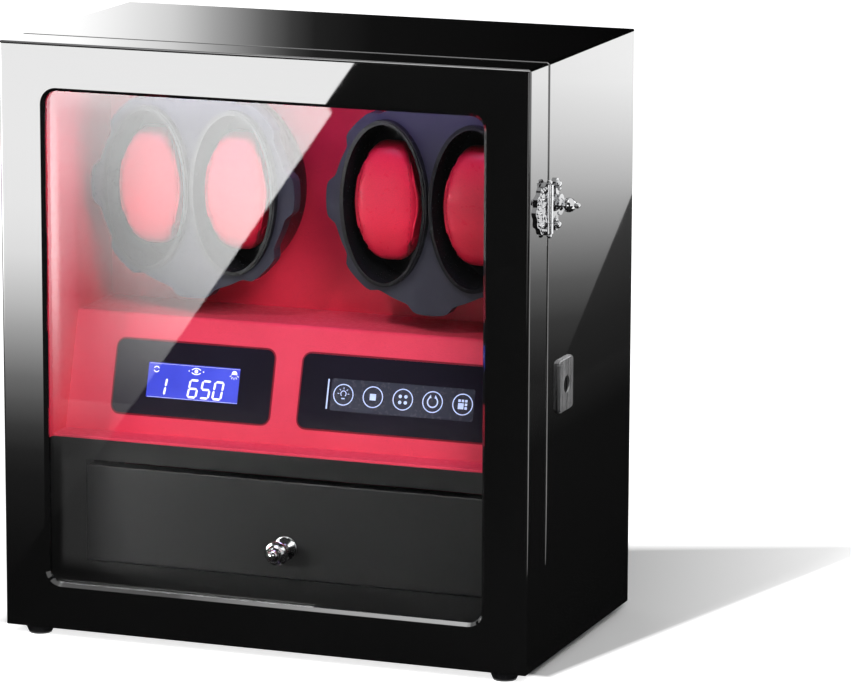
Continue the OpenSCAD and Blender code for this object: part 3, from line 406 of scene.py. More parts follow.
def new_piece(name, mesh, material, body):
    """Puts a finished mesh in the scene as a piece of a body."""
    piece = linked(name, mesh)
    mesh.materials.clear()
    mesh.materials.append(finishes[material])
    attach(piece, body)
    return piece


def shaded(mesh, smooth=True):
    """The mesh, with all its faces smooth or flat."""
    for polygon in mesh.polygons:
        polygon.use_smooth = smooth
    return mesh


def evaluated_mesh(thing):
    """The object's shape with its modifiers, as a mesh of its own."""
    bpy.context.view_layer.update()
    return bpy.data.meshes.new_from_object(thing.evaluated_get(bpy.context.evaluated_depsgraph_get()))


def bridge(bm, *loops):
    """Joins each closed loop of points to the next one with a band of quads."""
    for a, b in zip(loops, loops[1:]):
        for i in range(len(a)):
            j = (i + 1) % len(a)
            bm.faces.new((a[i], a[j], b[j], b[i]))


def to_mesh(bm, name, smooth=True):
    """Merged and closed, with its faces outwards."""
    bmesh.ops.remove_doubles(bm, verts=bm.verts, dist=1e-6)
    bmesh.ops.recalc_face_normals(bm, faces=bm.faces)
    mesh = bpy.data.meshes.new(name)
    bm.to_mesh(mesh)
    bm.free()
    return shaded(mesh, smooth)


def case_piece(name, bm, material):
    """A flat-shaded piece of the case."""
    new_piece(name, to_mesh(bm, name, False), material, "case")


def prism(bm, outline, place, thickness):
    """Adds a flat plate: outline points in a plane, put in place by a function of (x, y, out)."""
    low = [bm.verts.new(place(x, y, 0)) for x, y in outline]
    high = [bm.verts.new(place(x, y, thickness)) for x, y in outline]
    bm.faces.new(high)
    bm.faces.new(low[::-1])
    bridge(bm, low, high)


def annulus(bm, centre, outer, inner, place, thickness, start=0, end=360, steps=40):
    """Adds a flat ring or an arc of one."""
    whole = end - start >= 360
    rows = []
    for i in range(steps + (0 if whole else 1)):
        a = math.radians(start + (end - start) * i / steps)
        c, s = math.cos(a), math.sin(a)
        rows.append([
            bm.verts.new(place(centre[0] + r * c, centre[1] + r * s, out))
            for r, out in ((inner, 0), (outer, 0), (outer, thickness), (inner, thickness))
        ])
    bridge(bm, *rows, *(rows[:1] if whole else ()))
    if not whole:
        bm.faces.new(rows[0])
        bm.faces.new(rows[-1][::-1])


def arc_points(centre, r, start, end, steps):
    """Points of an arc between two angles in degrees."""
    turns = [math.radians(start + (end - start) * i / steps) for i in range(steps + 1)]
    return [(centre[0] + r * math.cos(a), centre[1] + r * math.sin(a)) for a in turns]


def disc_points(centre, r, steps=28):
    return arc_points(centre, r, 0, 360, steps)[:-1]


def box_points(x0, y0, x1, y1):
    return [(x0, y0), (x1, y0), (x1, y1), (x0, y1)]


def rounded_points(x0, y0, x1, y1, r, steps=5):
    points = []
    corners = ((x1 - r, y0 + r, -90), (x1 - r, y1 - r, 0), (x0 + r, y1 - r, 90), (x0 + r, y0 + r, 180))
    for cx, cy, start in corners:
        points += arc_points((cx, cy), r, start, start + 90, steps)
    return points


# ---- Geometry Nodes ----


def geometry_tree(name, inputs):
    """A tree with named inputs that ends in Set Material: gives its new, link, inputs and last node."""
    tree = bpy.data.node_groups.new(name, "GeometryNodeTree")
    for key, kind in inputs:
        tree.interface.new_socket(key, in_out="INPUT", socket_type="NodeSocket" + kind)
    tree.interface.new_socket("Geometry", in_out="OUTPUT", socket_type="NodeSocketGeometry")
    new, link = tree.nodes.new, tree.links.new
    source, paint, result = new("NodeGroupInput"), new("GeometryNodeSetMaterial"), new("NodeGroupOutput")
    link(source.outputs["Finish"], paint.inputs["Material"])
    link(paint.outputs["Geometry"], result.inputs["Geometry"])
    return tree, new, link, source, paint


def repeat_tree():
    """A tree that puts one small part on every point, turned by the point's own rotation."""
    tree, new, link, source, paint = geometry_tree(
        "repeat", [("Points", "Geometry"), ("Part", "Object"), ("Size", "Float"), ("Finish", "Material")])
    part, turn = new("GeometryNodeObjectInfo"), new("GeometryNodeInputNamedAttribute")
    turn.data_type = "FLOAT_VECTOR"
    turn.inputs["Name"].default_value = "turn"
    to_rotation = new("FunctionNodeEulerToRotation")
    put, realize = new("GeometryNodeInstanceOnPoints"), new("GeometryNodeRealizeInstances")
    link(source.outputs["Part"], part.inputs["Object"])
    link(source.outputs["Points"], put.inputs["Points"])
    link(part.outputs["Geometry"], put.inputs["Instance"])
    link(turn.outputs["Attribute"], to_rotation.inputs[0])
    link(to_rotation.outputs[0], put.inputs["Rotation"])
    link(source.outputs["Size"], put.inputs["Scale"])
    link(put.outputs["Instances"], realize.inputs["Geometry"])
    link(realize.outputs["Geometry"], paint.inputs["Geometry"])
    return tree


def piping_tree():
    """A tree that sweeps a round cord along a closed path."""
    tree, new, link, source, paint = geometry_tree(
        "piping", [("Path", "Geometry"), ("Radius", "Float"), ("Finish", "Material")])
    path, ring = new("GeometryNodeMeshToCurve"), new("GeometryNodeCurvePrimitiveCircle")
    sweep = new("GeometryNodeCurveToMesh")
    ring.inputs["Resolution"].default_value = 10
    link(source.outputs["Path"], path.inputs["Mesh"])
    link(source.outputs["Radius"], ring.inputs["Radius"])
    link(path.outputs["Curve"], sweep.inputs["Curve"])
    link(ring.outputs["Curve"], sweep.inputs["Profile Curve"])
    link(sweep.outputs["Mesh"], paint.inputs["Geometry"])
    return tree


REPEAT, PIPING = repeat_tree(), piping_tree()


def grown(tree, mesh, material, **values):
    """The plain mesh that a tree makes from a carrier mesh, with its inputs set by their names."""
    carrier = linked(mesh.name, mesh)
    modifier = carrier.modifiers.new(tree.name, "NODES")
    modifier.node_group = tree
    values["Finish"] = finishes[material]
    for item in tree.interface.items_tree:
        if item.in_out == "INPUT" and item.name in values:
            modifier[item.identifier] = values[item.name]
    made = evaluated_mesh(carrier)
    bpy.data.objects.remove(carrier)
    return made


def repeated(name, part, places, material, body, size=1.0):
    """Repeats a part at places, each (point, direction of the part's Z axis, spin), as one mesh."""
    mesh = bpy.data.meshes.new(name + "_points")
    mesh.from_pydata([tuple(p) for p, _, _ in places], [], [])
    turn = mesh.attributes.new("turn", "FLOAT_VECTOR", "POINT")
    for i, (_, aim, spin) in enumerate(places):
        look = Vector(aim).to_track_quat("Z", "Y") @ Matrix.Rotation(spin, 3, "Z").to_quaternion()
        turn.data[i].vector = look.to_euler("XYZ")
    template = linked(name + "_part", part)
    made = grown(REPEAT, mesh, material, Part=template, Size=size)
    bpy.data.objects.remove(template)
    if "turn" in made.attributes:
        made.attributes.remove(made.attributes["turn"])
    made.name = name
    return new_piece(name, made, material, body)


def swept(loops, radius, material):
    """Cords along closed loops of points, as one mesh."""
    mesh = bpy.data.meshes.new("path")
    points, edges = [], []
    for loop in loops:
        first = len(points)
        points += [tuple(p) for p in loop]
        edges += [(first + i, first + (i + 1) % len(loop)) for i in range(len(loop))]
    mesh.from_pydata(points, edges, [])
    return shaded(grown(PIPING, mesh, material, Radius=radius))


# ---- places on the box, from the CAD sizes ----

Y_LIP_TOP, Z_LIP = -33.9, 114.215      # foot of the leaning face, in millimetres
LEAN = math.atan2(19.9, 68.3)


def on_slope(x, up, out):
    """A point of the leaning console face: across, up the slope and out of it, in millimetres."""
    y = Y_LIP_TOP + up * math.sin(LEAN) - out * math.cos(LEAN)
    z = Z_LIP + up * math.cos(LEAN) + out * math.sin(LEAN)
    return point(x, y, z)


# ---- display marks ----

SCREEN_OUT, PANE_OUT = -0.09, 0.41     # the module and the touch glass, out of the slope
INK, HAIRLINE = 0.03, 0.02             # thickness of a printed mark and of the cell's frame
OVER_STRIP = 0.04                      # the touch signs over their glass, clear of the dark strip
SEGMENTS = {"1": "bc", "6": "acdefg", "5": "acdfg", "0": "abcdef"}


def digit(bm, x, low, width, height, name, place, stroke=1.25, slant=0.12):
    """A seven segment figure with mitred ends, leaning as on a liquid crystal display."""
    mid, gap = low + height / 2, 0.16
    left, right = x + stroke / 2, x + width - stroke / 2
    bottom, top = low + stroke / 2, low + height - stroke / 2
    ends = {
        "a": ((left, top), (right, top)), "g": ((left, mid), (right, mid)),
        "d": ((left, bottom), (right, bottom)), "f": ((left, mid), (left, top)),
        "b": ((right, mid), (right, top)), "e": ((left, bottom), (left, mid)),
        "c": ((right, bottom), (right, mid)),
    }
    for key in SEGMENTS[name]:
        (x0, y0), (x1, y1) = ends[key]
        dx, dy = (1, 0) if y0 == y1 else (0, 1)
        h = stroke / 2
        inner = gap + h
        points = [
            (x0 + gap * dx, y0 + gap * dy), (x0 + inner * dx + h * dy, y0 + inner * dy + h * dx),
            (x1 - inner * dx + h * dy, y1 - inner * dy + h * dx), (x1 - gap * dx, y1 - gap * dy),
            (x1 - inner * dx - h * dy, y1 - inner * dy - h * dx),
            (x0 + inner * dx - h * dy, y0 + inner * dy - h * dx),
        ]
        prism(bm, [(px + slant * (py - low), py) for px, py in points], place, INK)


def light_ray(bm, centre, angle, near, far, place, half=0.2):
    """Adds a short bar that points away from a centre."""
    c, s = math.cos(math.radians(angle)), math.sin(math.radians(angle))
    prism(bm, [(centre[0] + r * c + w * s, centre[1] + r * s - w * c)
               for r, w in ((near, -half), (far, -half), (far, half), (near, half))], place, INK)


def screen_marks():
    """Figures and signs of the blue display."""
    bm = bmesh.new()

    def place(x, y, out):
        return on_slope(x, y, SCREEN_OUT + out)

    for x, name in ((-94.6, "1"), (-74.2, "6"), (-66.2, "5"), (-58.2, "0")):
        digit(bm, x, 23.1, 6.5, 11.4, name, place)
    # eye: two lids round a pupil
    eye = (-69.3, 39.2)
    prism(bm, disc_points(eye, 1.15), place, INK)
    for sign in (1, -1):
        start = 50 if sign > 0 else 230
        annulus(bm, (eye[0], eye[1] - sign * 2.6), 4.7, 4.15, place, INK, start, start + 80, 16)
    for dx in (-4.6, 4.6):
        prism(bm, disc_points((eye[0] + dx, eye[1]), 0.42, 12), place, INK)
    # lamp with its rays
    x, y = -44.9, 39.6
    prism(bm, arc_points((x, y), 1.7, 0, 180, 16), place, INK)
    prism(bm, box_points(x - 1.9, y - 0.6, x + 1.9, y - 0.15), place, INK)
    for i in range(5):
        light_ray(bm, (x, y - 0.4), 205 + 32.5 * i, 1.9, 3.2, place)
    # ring in two halves
    for start in (20, 200):
        annulus(bm, (-94.8, 38.8), 1.9, 1.35, place, INK, start, start + 140, 14)
    # thin frame of the cell
    for line in ((-99.2, 42.2, -40.8, 42.32), (-99.2, 22.2, -40.8, 22.35), (-40.95, 22.5, -40.8, 42.0)):
        prism(bm, box_points(*line), place, HAIRLINE)
    case_piece("screen_marks", bm, "mark_white")


def touch_marks():
    """Dark strip of the touch glass with its five round signs, left to right."""
    strip, icons = bmesh.new(), bmesh.new()

    def pane(x, y, out):
        return on_slope(x, y, PANE_OUT + out)

    prism(strip, rounded_points(17.2, 22.9, 106.5, 41.8, 1.4), pane, INK)

    def place(x, y, out):
        return on_slope(x, y, PANE_OUT + OVER_STRIP + out)

    prism(icons, box_points(14.8, 23.6, 15.7, 41.2), place, INK)
    level = 32.6
    centres = [25.1, 43.6, 62.3, 80.8, 99.4]
    for x in centres:
        annulus(icons, (x, level), 6.35, 5.75, place, INK)
    # lamp
    x = centres[0]
    annulus(icons, (x, level + 0.6), 1.9, 1.4, place, INK, -50, 230, 20)
    prism(icons, box_points(x - 1.0, level - 2.6, x + 1.0, level - 1.9), place, INK)
    for a in (0, 45, 90, 135, 180):
        light_ray(icons, (x, level + 0.6), a, 2.6, 3.7, place)
    # square, four dots, open ring and grid
    x = centres[1]
    prism(icons, box_points(x - 1.9, level - 1.9, x + 1.9, level + 1.9), place, INK)
    for dx, dy in ((-1.75, -1.75), (-1.75, 1.75), (1.75, -1.75), (1.75, 1.75)):
        prism(icons, disc_points((centres[2] + dx, level + dy), 1.05, 16), place, INK)
    x = centres[3]
    annulus(icons, (x, level), 3.5, 2.7, place, INK, 118, 422, 30)
    for side in (-1, 1):
        tip = [(x + side * 0.9, level + 2.2), (x + side * 2.6, level + 2.4), (x + side * 1.5, level + 4.2)]
        prism(icons, tip if side > 0 else tip[::-1], place, INK)
    x = centres[4]
    squares = ((-2.1, 2.1, 0.75), (0, 2.1, 0.75), (2.1, 2.1, 0.75), (2.1, 0, 0.75), (2.1, -2.1, 0.75),
               (-1.05, -1.05, 1.75))
    for dx, dy, half in squares:
        left, low = x + dx - half, level + dy - half
        prism(icons, box_points(left, low, left + 2 * half, low + 2 * half), place, INK)
    case_piece("touch_strip", strip, "strip")
    case_piece("touch_marks", icons, "mark_blue")


def glass_edging(name, left, right, low=11.37, high=55.37, corner=5.0, width=1.1):
    """The narrow turned edge of the leatherette round a glass of the console, in a dark copy of the red that
    is painted shade.
    """
    bm = bmesh.new()
    rings = []
    for grow, out in ((0.06, -0.1), (0.06, 0.22), (width, 0.12), (width, -0.1)):
        outline = rounded_points(left - grow, low - grow, right + grow, high + grow, corner + grow)
        rings.append([bm.verts.new(on_slope(x, y, out)) for x, y in outline])
    bridge(bm, *rings, rings[0])
    case_piece(name, bm, "edge_leather")


screen_marks()
touch_marks()
glass_edging("display_edging", left=-120.95, right=-20.45)
glass_edging("touch_edging", left=-1.95, right=126.55)

# ---- screws and other small hardware ----


def screw_mesh(name, profile, recess_r, depth, steps=48):
    """A turned head, profile as (radius, height) from the rim in, with a cross recess in its top."""
    bm = bmesh.new()
    top = max(h for _, h in profile)
    rings = list(profile)
    crown = rings[-1][0]
    rings += [(crown * k, top) for k in (0.82, 0.66, 0.52, 0.4, 0.3, 0.2, 0.12)]
    loops = []
    for r, h in rings:
        loop = []
        for i in range(steps):
            a = 2 * math.pi * (i + 0.5) / steps
            x, y = r * math.cos(a), r * math.sin(a)
            inside = r < recess_r and min(abs(x), abs(y)) < recess_r * 0.24
            loop.append(bm.verts.new((x, y, h - (depth * (1 - 0.5 * r / recess_r) if inside else 0))))
        loops.append(loop)
    bridge(bm, *loops)
    bm.faces.new(loops[-1])
    bm.faces.new(loops[0][::-1])
    return to_mesh(bm, name)


def scaled(points):
    return [(r * MM, h * MM) for r, h in points]


# wood screws of the back panel, with their shanks
BACK_SCREW = scaled([(0.01, -18), (1.5, -16), (1.5, -2), (3.15, -0.05), (3.0, 0)])
BACK_X, BACK_FACE, BACK_Z = 146.5, 92.5, (47.5, 179.5, 311.5)
spots = [(sx * BACK_X, BACK_FACE, z) for sx in (-1, 1) for z in BACK_Z]
back = [(point(*spot), (0, 1, 0), 0.3 * i) for i, spot in enumerate(spots)]
head = screw_mesh("back_screw_head", BACK_SCREW, recess_r=1.9 * MM, depth=1.1 * MM)
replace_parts(repeated("back_screw_set", head, back, "steel", "case"), "back_screws")

# screws that hold the feet
FOOT_SCREW = scaled([(1.5, -8.8), (1.5, 0.0), (3.0, 0.02), (3.0, 0.9), (2.4, 1.3)])
FOOT_X, FOOT_Y, FOOT_SEAT = 146, (-49.4, 81), 2.95
feet = [(point(sx * FOOT_X, y, FOOT_SEAT), (0, 0, -1), 0.4 * sx + y) for sx in (-1, 1) for y in FOOT_Y]
head = screw_mesh("foot_screw_head", FOOT_SCREW, recess_r=1.6 * MM, depth=0.7 * MM)
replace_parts(repeated("foot_screw_set", head, feet, "steel", "case"), "foot_screws")

# hinge screws, flush with their leaves
FLUSH = scaled([(2.3, -0.3), (2.3, 0.02), (2.15, 0.04)])
flush = screw_mesh("flush_head", FLUSH, recess_r=1.4 * MM, depth=0.3 * MM)
HINGE_X, CASE_LEAF_Y, DOOR_LEAF_Y = -156.6, -61.15, -61.25
hinge_z = [z + dz for z in (60.5, 298.5) for dz in (-14, 0, 14)]
case_side = [(point(HINGE_X, CASE_LEAF_Y, z), (0, -1, 0), 0.7 * z) for z in hinge_z]
door_side = [(point(HINGE_X, DOOR_LEAF_Y, z), (0, 1, 0), 0.5 * z) for z in hinge_z]

repeated("case_hinge_screws", flush, case_side, "steel", "case")
repeated("door_hinge_screws", flush, door_side, "steel", "door")


def dome_mesh(name, rings=6, steps=24):
    """A half bead of unit radius on its base."""
    bm = bmesh.new()
    loops = []
    for k in range(rings):
        a = math.radians(90 * k / rings)
        loops.append([bm.verts.new((x, y, math.sin(a))) for x, y in disc_points((0, 0), math.cos(a), steps)])
    tip = bm.verts.new((0, 0, 1))
    bridge(bm, *loops)
    for i in range(steps):
        bm.faces.new((loops[-1][i], loops[-1][(i + 1) % steps], tip))
    bm.faces.new(loops[0][::-1])
    return to_mesh(bm, name)


def petal_mesh(name, steps=14, across=8):
    """A raised leaf along +X with a sunk vein, 1 long and 0.42 wide."""
    bm = bmesh.new()
    rows = []
    for i in range(steps + 1):
        t = i / steps
        half = 0.21 * math.sin(math.pi * min(1, t * 0.96 + 0.02)) ** 0.75
        row = []
        for j in range(across + 1):
            s = 2 * j / across - 1
            rise = 0.11 * (1 - s * s) ** 0.5 * math.sin(math.pi * t) ** 0.5 - 0.035 * max(0, 1 - abs(s) * 4)
            row.append(bm.verts.new((t, s * half, max(0.0, rise))))
        rows.append(row)
    for a, b in zip(rows, rows[1:]):
        for j in range(across):
            bm.faces.new((a[j], b[j], b[j + 1], a[j + 1]))
    edge = [r[0] for r in rows] + rows[-1][1:-1] + [r[-1] for r in reversed(rows)] + rows[0][-2:0:-1]
    base = [bm.verts.new((v.co.x, v.co.y, -0.02)) for v in edge]
    bridge(bm, edge, base)
    bm.faces.new(base[::-1])
    return to_mesh(bm, name)


# cast ornament of the latch: a beaded border and leaves on the door's plate, bosses on the case's plate
LATCH_Y, LATCH_Z, CATCH_Y, PLATE_X = -66.7, 271.5, -49.7, 164.4
PLATE_REACH, PLATE_RISE = 18.5, 14.5   # half sizes of the door's plate, in millimetres
bead = dome_mesh("bead")
border = []
for i in range(15):
    a = math.radians(100 + 160 * i / 14)
    k = 0.86 * (1 + 0.05 * math.cos(12 * a))
    at = point(PLATE_X - 0.1, LATCH_Y + PLATE_REACH * k * math.cos(a), LATCH_Z + PLATE_RISE * k * math.sin(a))
    border.append((at, (1, 0, 0), 0))
repeated("latch_border", bead, border, "chrome", "door", size=1.05 * MM)
leaves = []
for a in (108, 152.5, 207.5, 252):
    c, s = math.cos(math.radians(a)), math.sin(math.radians(a))
    leaves.append((point(PLATE_X, LATCH_Y + 5.2 * c, LATCH_Z + 4.8 * s), (1, 0, 0), math.atan2(c, -s)))
repeated("latch_leaves", petal_mesh("leaf"), leaves, "chrome", "door", size=8.2 * MM)
for name, across, up, radius in (("catch_bosses", 0, 11.6, 2.5), ("catch_curls", 3.2, 8.4, 1.25)):
    pair = [(point(PLATE_X - 0.05, CATCH_Y + s * across, LATCH_Z + s * up), (1, 0, 0), 0) for s in (-1, 1)]
    repeated(name, bead, pair, "chrome", "case", size=radius * MM)

# ---- watch pillows ----

PILLOW = (22.0, 17.0, 37.0)            # half width, half thickness and half height in the CAD
ROUND_Y, ROUND_Z = 0.72, 0.82          # powers that square a pillow's round section
CROWN = 44                             # radius that narrows a pillow towards its top and bottom
PILLOW_LOW, PILLOW_HIGH = span("left_pillows")
PILLOW_AT = (PILLOW_LOW + PILLOW_HIGH) / 2


def loaf(shrink, around=64, across=14):
    """Pillow shape: a rounded block seen from the side, crowned and narrower towards its ends."""
    bm = bmesh.new()
    loops = []
    for j in range(across + 1):
        t = 2 * j / across - 1
        loop = []
        for i in range(around):
            a = 2 * math.pi * i / around
            c, s = math.cos(a), math.sin(a)
            y = (PILLOW[1] - shrink) * math.copysign(abs(c) ** ROUND_Y, c)
            z = (PILLOW[2] - shrink) * math.copysign(abs(s) ** ROUND_Z, s)
            pull = 1 - 0.1 * abs(t) ** 5
            half = (PILLOW[0] - shrink) * math.sqrt(1 - (z / CROWN) ** 2) - 1.0
            loop.append(bm.verts.new(point(half * t, y * pull, z * pull)))
        loops.append(loop)
    bridge(bm, *loops)
    for loop in (loops[0], loops[-1]):
        inner = loop
        for k in (0.8, 0.6, 0.4, 0.2):
            ring = [bm.verts.new((v.co.x * (1 + 0.05 * (1 - k)), v.co.y * k, v.co.z * k)) for v in loop]
            bridge(bm, inner, ring)
            inner = ring
        bm.faces.new(inner)
    return to_mesh(bm, "loaf")


CLOTH_FRAMES = 20


def inflate(mesh, voxel, pressure, cap):
    """Fills a closed shape by a short cloth simulation, with no point moved further than cap."""
    thing = linked("filling", mesh)
    remesh = thing.modifiers.new("voxels", "REMESH")
    remesh.mode, remesh.voxel_size = "VOXEL", voxel
    grid = evaluated_mesh(thing)
    thing.modifiers.remove(remesh)
    thing.data = grid
    before = [v.co.copy() for v in grid.vertices]
    cloth = thing.modifiers.new("cloth", "CLOTH")
    settings = cloth.settings
    settings.use_pressure, settings.uniform_pressure_force = True, pressure
    settings.effector_weights.gravity = 0
    settings.mass, settings.quality = 0.15, 6
    settings.tension_stiffness = settings.compression_stiffness = 12
    cloth.point_cache.frame_start, cloth.point_cache.frame_end = 1, CLOTH_FRAMES
    for tick in range(1, CLOTH_FRAMES + 1):
        bpy.context.scene.frame_set(tick)
    puffed = thing.evaluated_get(bpy.context.evaluated_depsgraph_get()).to_mesh()
    after = [v.co.copy() for v in puffed.vertices]
    thing.modifiers.remove(cloth)
    bpy.context.scene.frame_set(1)
    for vertex, old, new in zip(grid.vertices, before, after):
        move = new - old
        if move.length > cap:
            move *= cap / move.length
        vertex.co = old + move
    smooth = thing.modifiers.new("smooth", "SMOOTH")
    smooth.factor, smooth.iterations = 0.5, 4
    fine = thing.modifiers.new("fine", "SUBSURF")
    fine.levels = fine.render_levels = 1
    done = evaluated_mesh(thing)
    bpy.data.objects.remove(thing)
    return shaded(done)


def stitch_mesh():
    """One stitch: a short thread that dips at both ends."""
    bm = bmesh.new()
    loops = []
    for i in range(7):
        t = i / 6
        r = 0.16 * math.sin(math.pi * (0.12 + 0.76 * t)) ** 0.6
        rise = 0.1 * math.sin(math.pi * t)
        loops.append([bm.verts.new(point((t - 0.5) * 1.9, y, z)) for y, z in disc_points((0, rise), r, 6)])
    bridge(bm, *loops)
    bm.faces.new(loops[0][::-1])
    bm.faces.new(loops[-1])
    return to_mesh(bm, "stitch")


def seam_path(tree, across, lift, count=72, flat=0.55, outside=0.08):
    """Points round a pillow at one place across it, found by rays that start outside it and fan out flat."""
    points = []
    for i in range(count):
        a = 2 * math.pi * i / count
        z = math.sin(a)
        aim = Vector((0, math.cos(a) * flat, z)).normalized()
        reach = across * math.sqrt(max(0.05, 1 - (min(0.84, abs(z) * 0.8)) ** 2))
        origin = point(reach, 0, 0)
        hit, normal, _, _ = tree.ray_cast(origin + aim * outside, -aim)
        if hit:
            points.append((hit + normal * lift, normal))
    return points


ROTOR_X, PILLOW_X = 75.0, 27.5         # a rotor from the middle, and a pillow from its rotor's axis
PIPING_X, STITCH_X = 19.0, 16.3        # seams from the middle of a pillow

pillow = inflate(loaf(shrink=1.6), voxel=0.0029, pressure=4.0, cap=0.0013)
surface = BVHTree.FromPolygons([v.co for v in pillow.vertices], [p.vertices for p in pillow.polygons])
rims = [seam_path(surface, sign * PIPING_X, lift=0.0) for sign in (-1, 1)]
cords = swept([[p for p, _ in rim] for rim in rims], radius=0.75 * MM, material="pillow_leather")
threads = []
for sign in (-1, 1):
    row = seam_path(surface, sign * STITCH_X, lift=0.00012, count=96)
    for i in range(0, len(row), 2):
        p, normal = row[i]
        along = (row[(i + 1) % len(row)][0] - row[i - 1][0]).normalized()
        side = normal.cross(along)
        twist = Matrix((along, side, normal)).transposed().to_quaternion()
        base = normal.to_track_quat("Z", "Y")
        spin = (base.inverted() @ twist).to_euler("XYZ").z
        threads.append((p, normal, spin))
stitch = stitch_mesh()

for side, cx in (("left", -ROTOR_X), ("right", ROTOR_X)):
    body = side + "_rotor"
    pads, sewing = [], []
    for s in (-1, 1):
        at = point(cx + s * PILLOW_X, PILLOW_AT.y, PILLOW_AT.z)
        place = Matrix.Translation(at) @ Matrix.Rotation(0 if s > 0 else math.pi, 4, "Y")
        letter = "a" if s < 0 else "b"
        for kind, source in (("pillow", pillow), ("piping", cords)):
            mesh = source.copy()
            mesh.transform(place)
            piece = new_piece(f"{side}_{kind}_{letter}", mesh, "pillow_leather", body)
            if kind == "pillow":
                pads.append(piece)
        sewing += [(place @ p, place.to_3x3() @ n, spin if s > 0 else -spin) for p, n, spin in threads]
    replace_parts(pads[0], side + "_pillows")
    repeated(side + "_stitches", stitch, sewing, "thread", body)

# ---- velvet inside the drawer ----

TRAY = dict(x=115.0, y0=-35.5, y1=64.5, floor=43.3, top=93.2)   # inside of the tray, in millimetres
LINING = 1.1                           # thickness of the flocked insert
PAD_INSET, PAD_EDGE, QUILT = 2.4, 5, 22    # gap round the pad, its rounded margin and the pitch of its lines


def tray_lining():
    """A flocked tray insert with rounded corners and a turned lip."""
    bm = bmesh.new()

    def ring(inset, z, r):
        half, front, rear = TRAY["x"] - inset, TRAY["y0"] + inset, TRAY["y1"] - inset
        return [bm.verts.new(point(x, y, z)) for x, y in rounded_points(-half, front, half, rear, r, 6)]

    low, high = TRAY["floor"] + 0.02, TRAY["top"]
    outer = [ring(0.05, low, 0.6), ring(0.05, high - 0.4, 0.6), ring(0.3, high, 0.8)]
    inner = [ring(LINING - 0.2, high, 2.6), ring(LINING, high - 0.4, 3), ring(LINING, low + LINING + 3, 3),
             ring(LINING + 0.9, low + LINING + 0.9, 3.4), ring(LINING + 3, low + LINING, 5)]
    loops = outer + inner
    bridge(bm, *loops)
    bm.faces.new(loops[-1])
    bm.faces.new(loops[0][::-1])
    return to_mesh(bm, "drawer_velvet")


def quilted_pad():
    """A thin pad on the drawer floor, crowned between diagonal quilting lines."""
    nx, ny = 96, 44
    x0, x1 = -TRAY["x"] + PAD_INSET, TRAY["x"] - PAD_INSET
    y0, y1 = TRAY["y0"] + PAD_INSET, TRAY["y1"] - PAD_INSET
    floor = TRAY["floor"] + LINING + 0.1
    bm = bmesh.new()
    top, under = [], []
    for i in range(nx + 1):
        up_row, low_row = [], []
        for j in range(ny + 1):
            x, y = x0 + (x1 - x0) * i / nx, y0 + (y1 - y0) * j / ny
            edge = min(x - x0, x1 - x, y - y0, y1 - y)
            swell = min(1.0, edge / PAD_EDGE) ** 0.45
            a, b = ((x + y) / QUILT) % 1, ((x - y) / QUILT) % 1
            quilt = (math.sin(math.pi * a) * math.sin(math.pi * b)) ** 0.4
            up_row.append(bm.verts.new(point(x, y, floor + 0.5 + swell * (1.1 + 1.9 * quilt))))
            low_row.append(bm.verts.new(point(x, y, floor)))
        top.append(up_row)
        under.append(low_row)
    for i in range(nx):
        for j in range(ny):
            bm.faces.new((top[i][j], top[i + 1][j], top[i + 1][j + 1], top[i][j + 1]))
            bm.faces.new((under[i][j], under[i][j + 1], under[i + 1][j + 1], under[i + 1][j]))
    rim = [(i, 0) for i in range(nx)] + [(nx, j) for j in range(ny)]
    rim += [(i, ny) for i in range(nx, 0, -1)] + [(0, j) for j in range(ny, 0, -1)]
    bridge(bm, [under[i][j] for i, j in rim], [top[i][j] for i, j in rim])
    return to_mesh(bm, "drawer_pad")


velvet_tray = new_piece("drawer_velvet", tray_lining(), "lining", "drawer")
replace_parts(velvet_tray, "drawer_lining")
new_piece("drawer_pad", quilted_pad(), "lining", "drawer")

# ---- floor, reflectors and light ----


def span_corners(x, y, z):
    """Corners of a flat card: two of x, y and z are (low, high), and the third is a number."""
    if not isinstance(z, tuple):
        return [(x[0], y[0], z), (x[1], y[0], z), (x[1], y[1], z), (x[0], y[1], z)]
    if not isinstance(y, tuple):
        return [(x[0], y, z[0]), (x[1], y, z[0]), (x[1], y, z[1]), (x[0], y, z[1])]
    return [(x, y[0], z[0]), (x, y[1], z[0]), (x, y[1], z[1]), (x, y[0], z[1])]


def plane(name, x, y, z):
    """A flat card of the stage."""
    mesh = bpy.data.meshes.new(name)
    mesh.from_pydata(span_corners(x, y, z), [], [(0, 1, 2, 3)])
    thing = linked(name, mesh)
    return thing


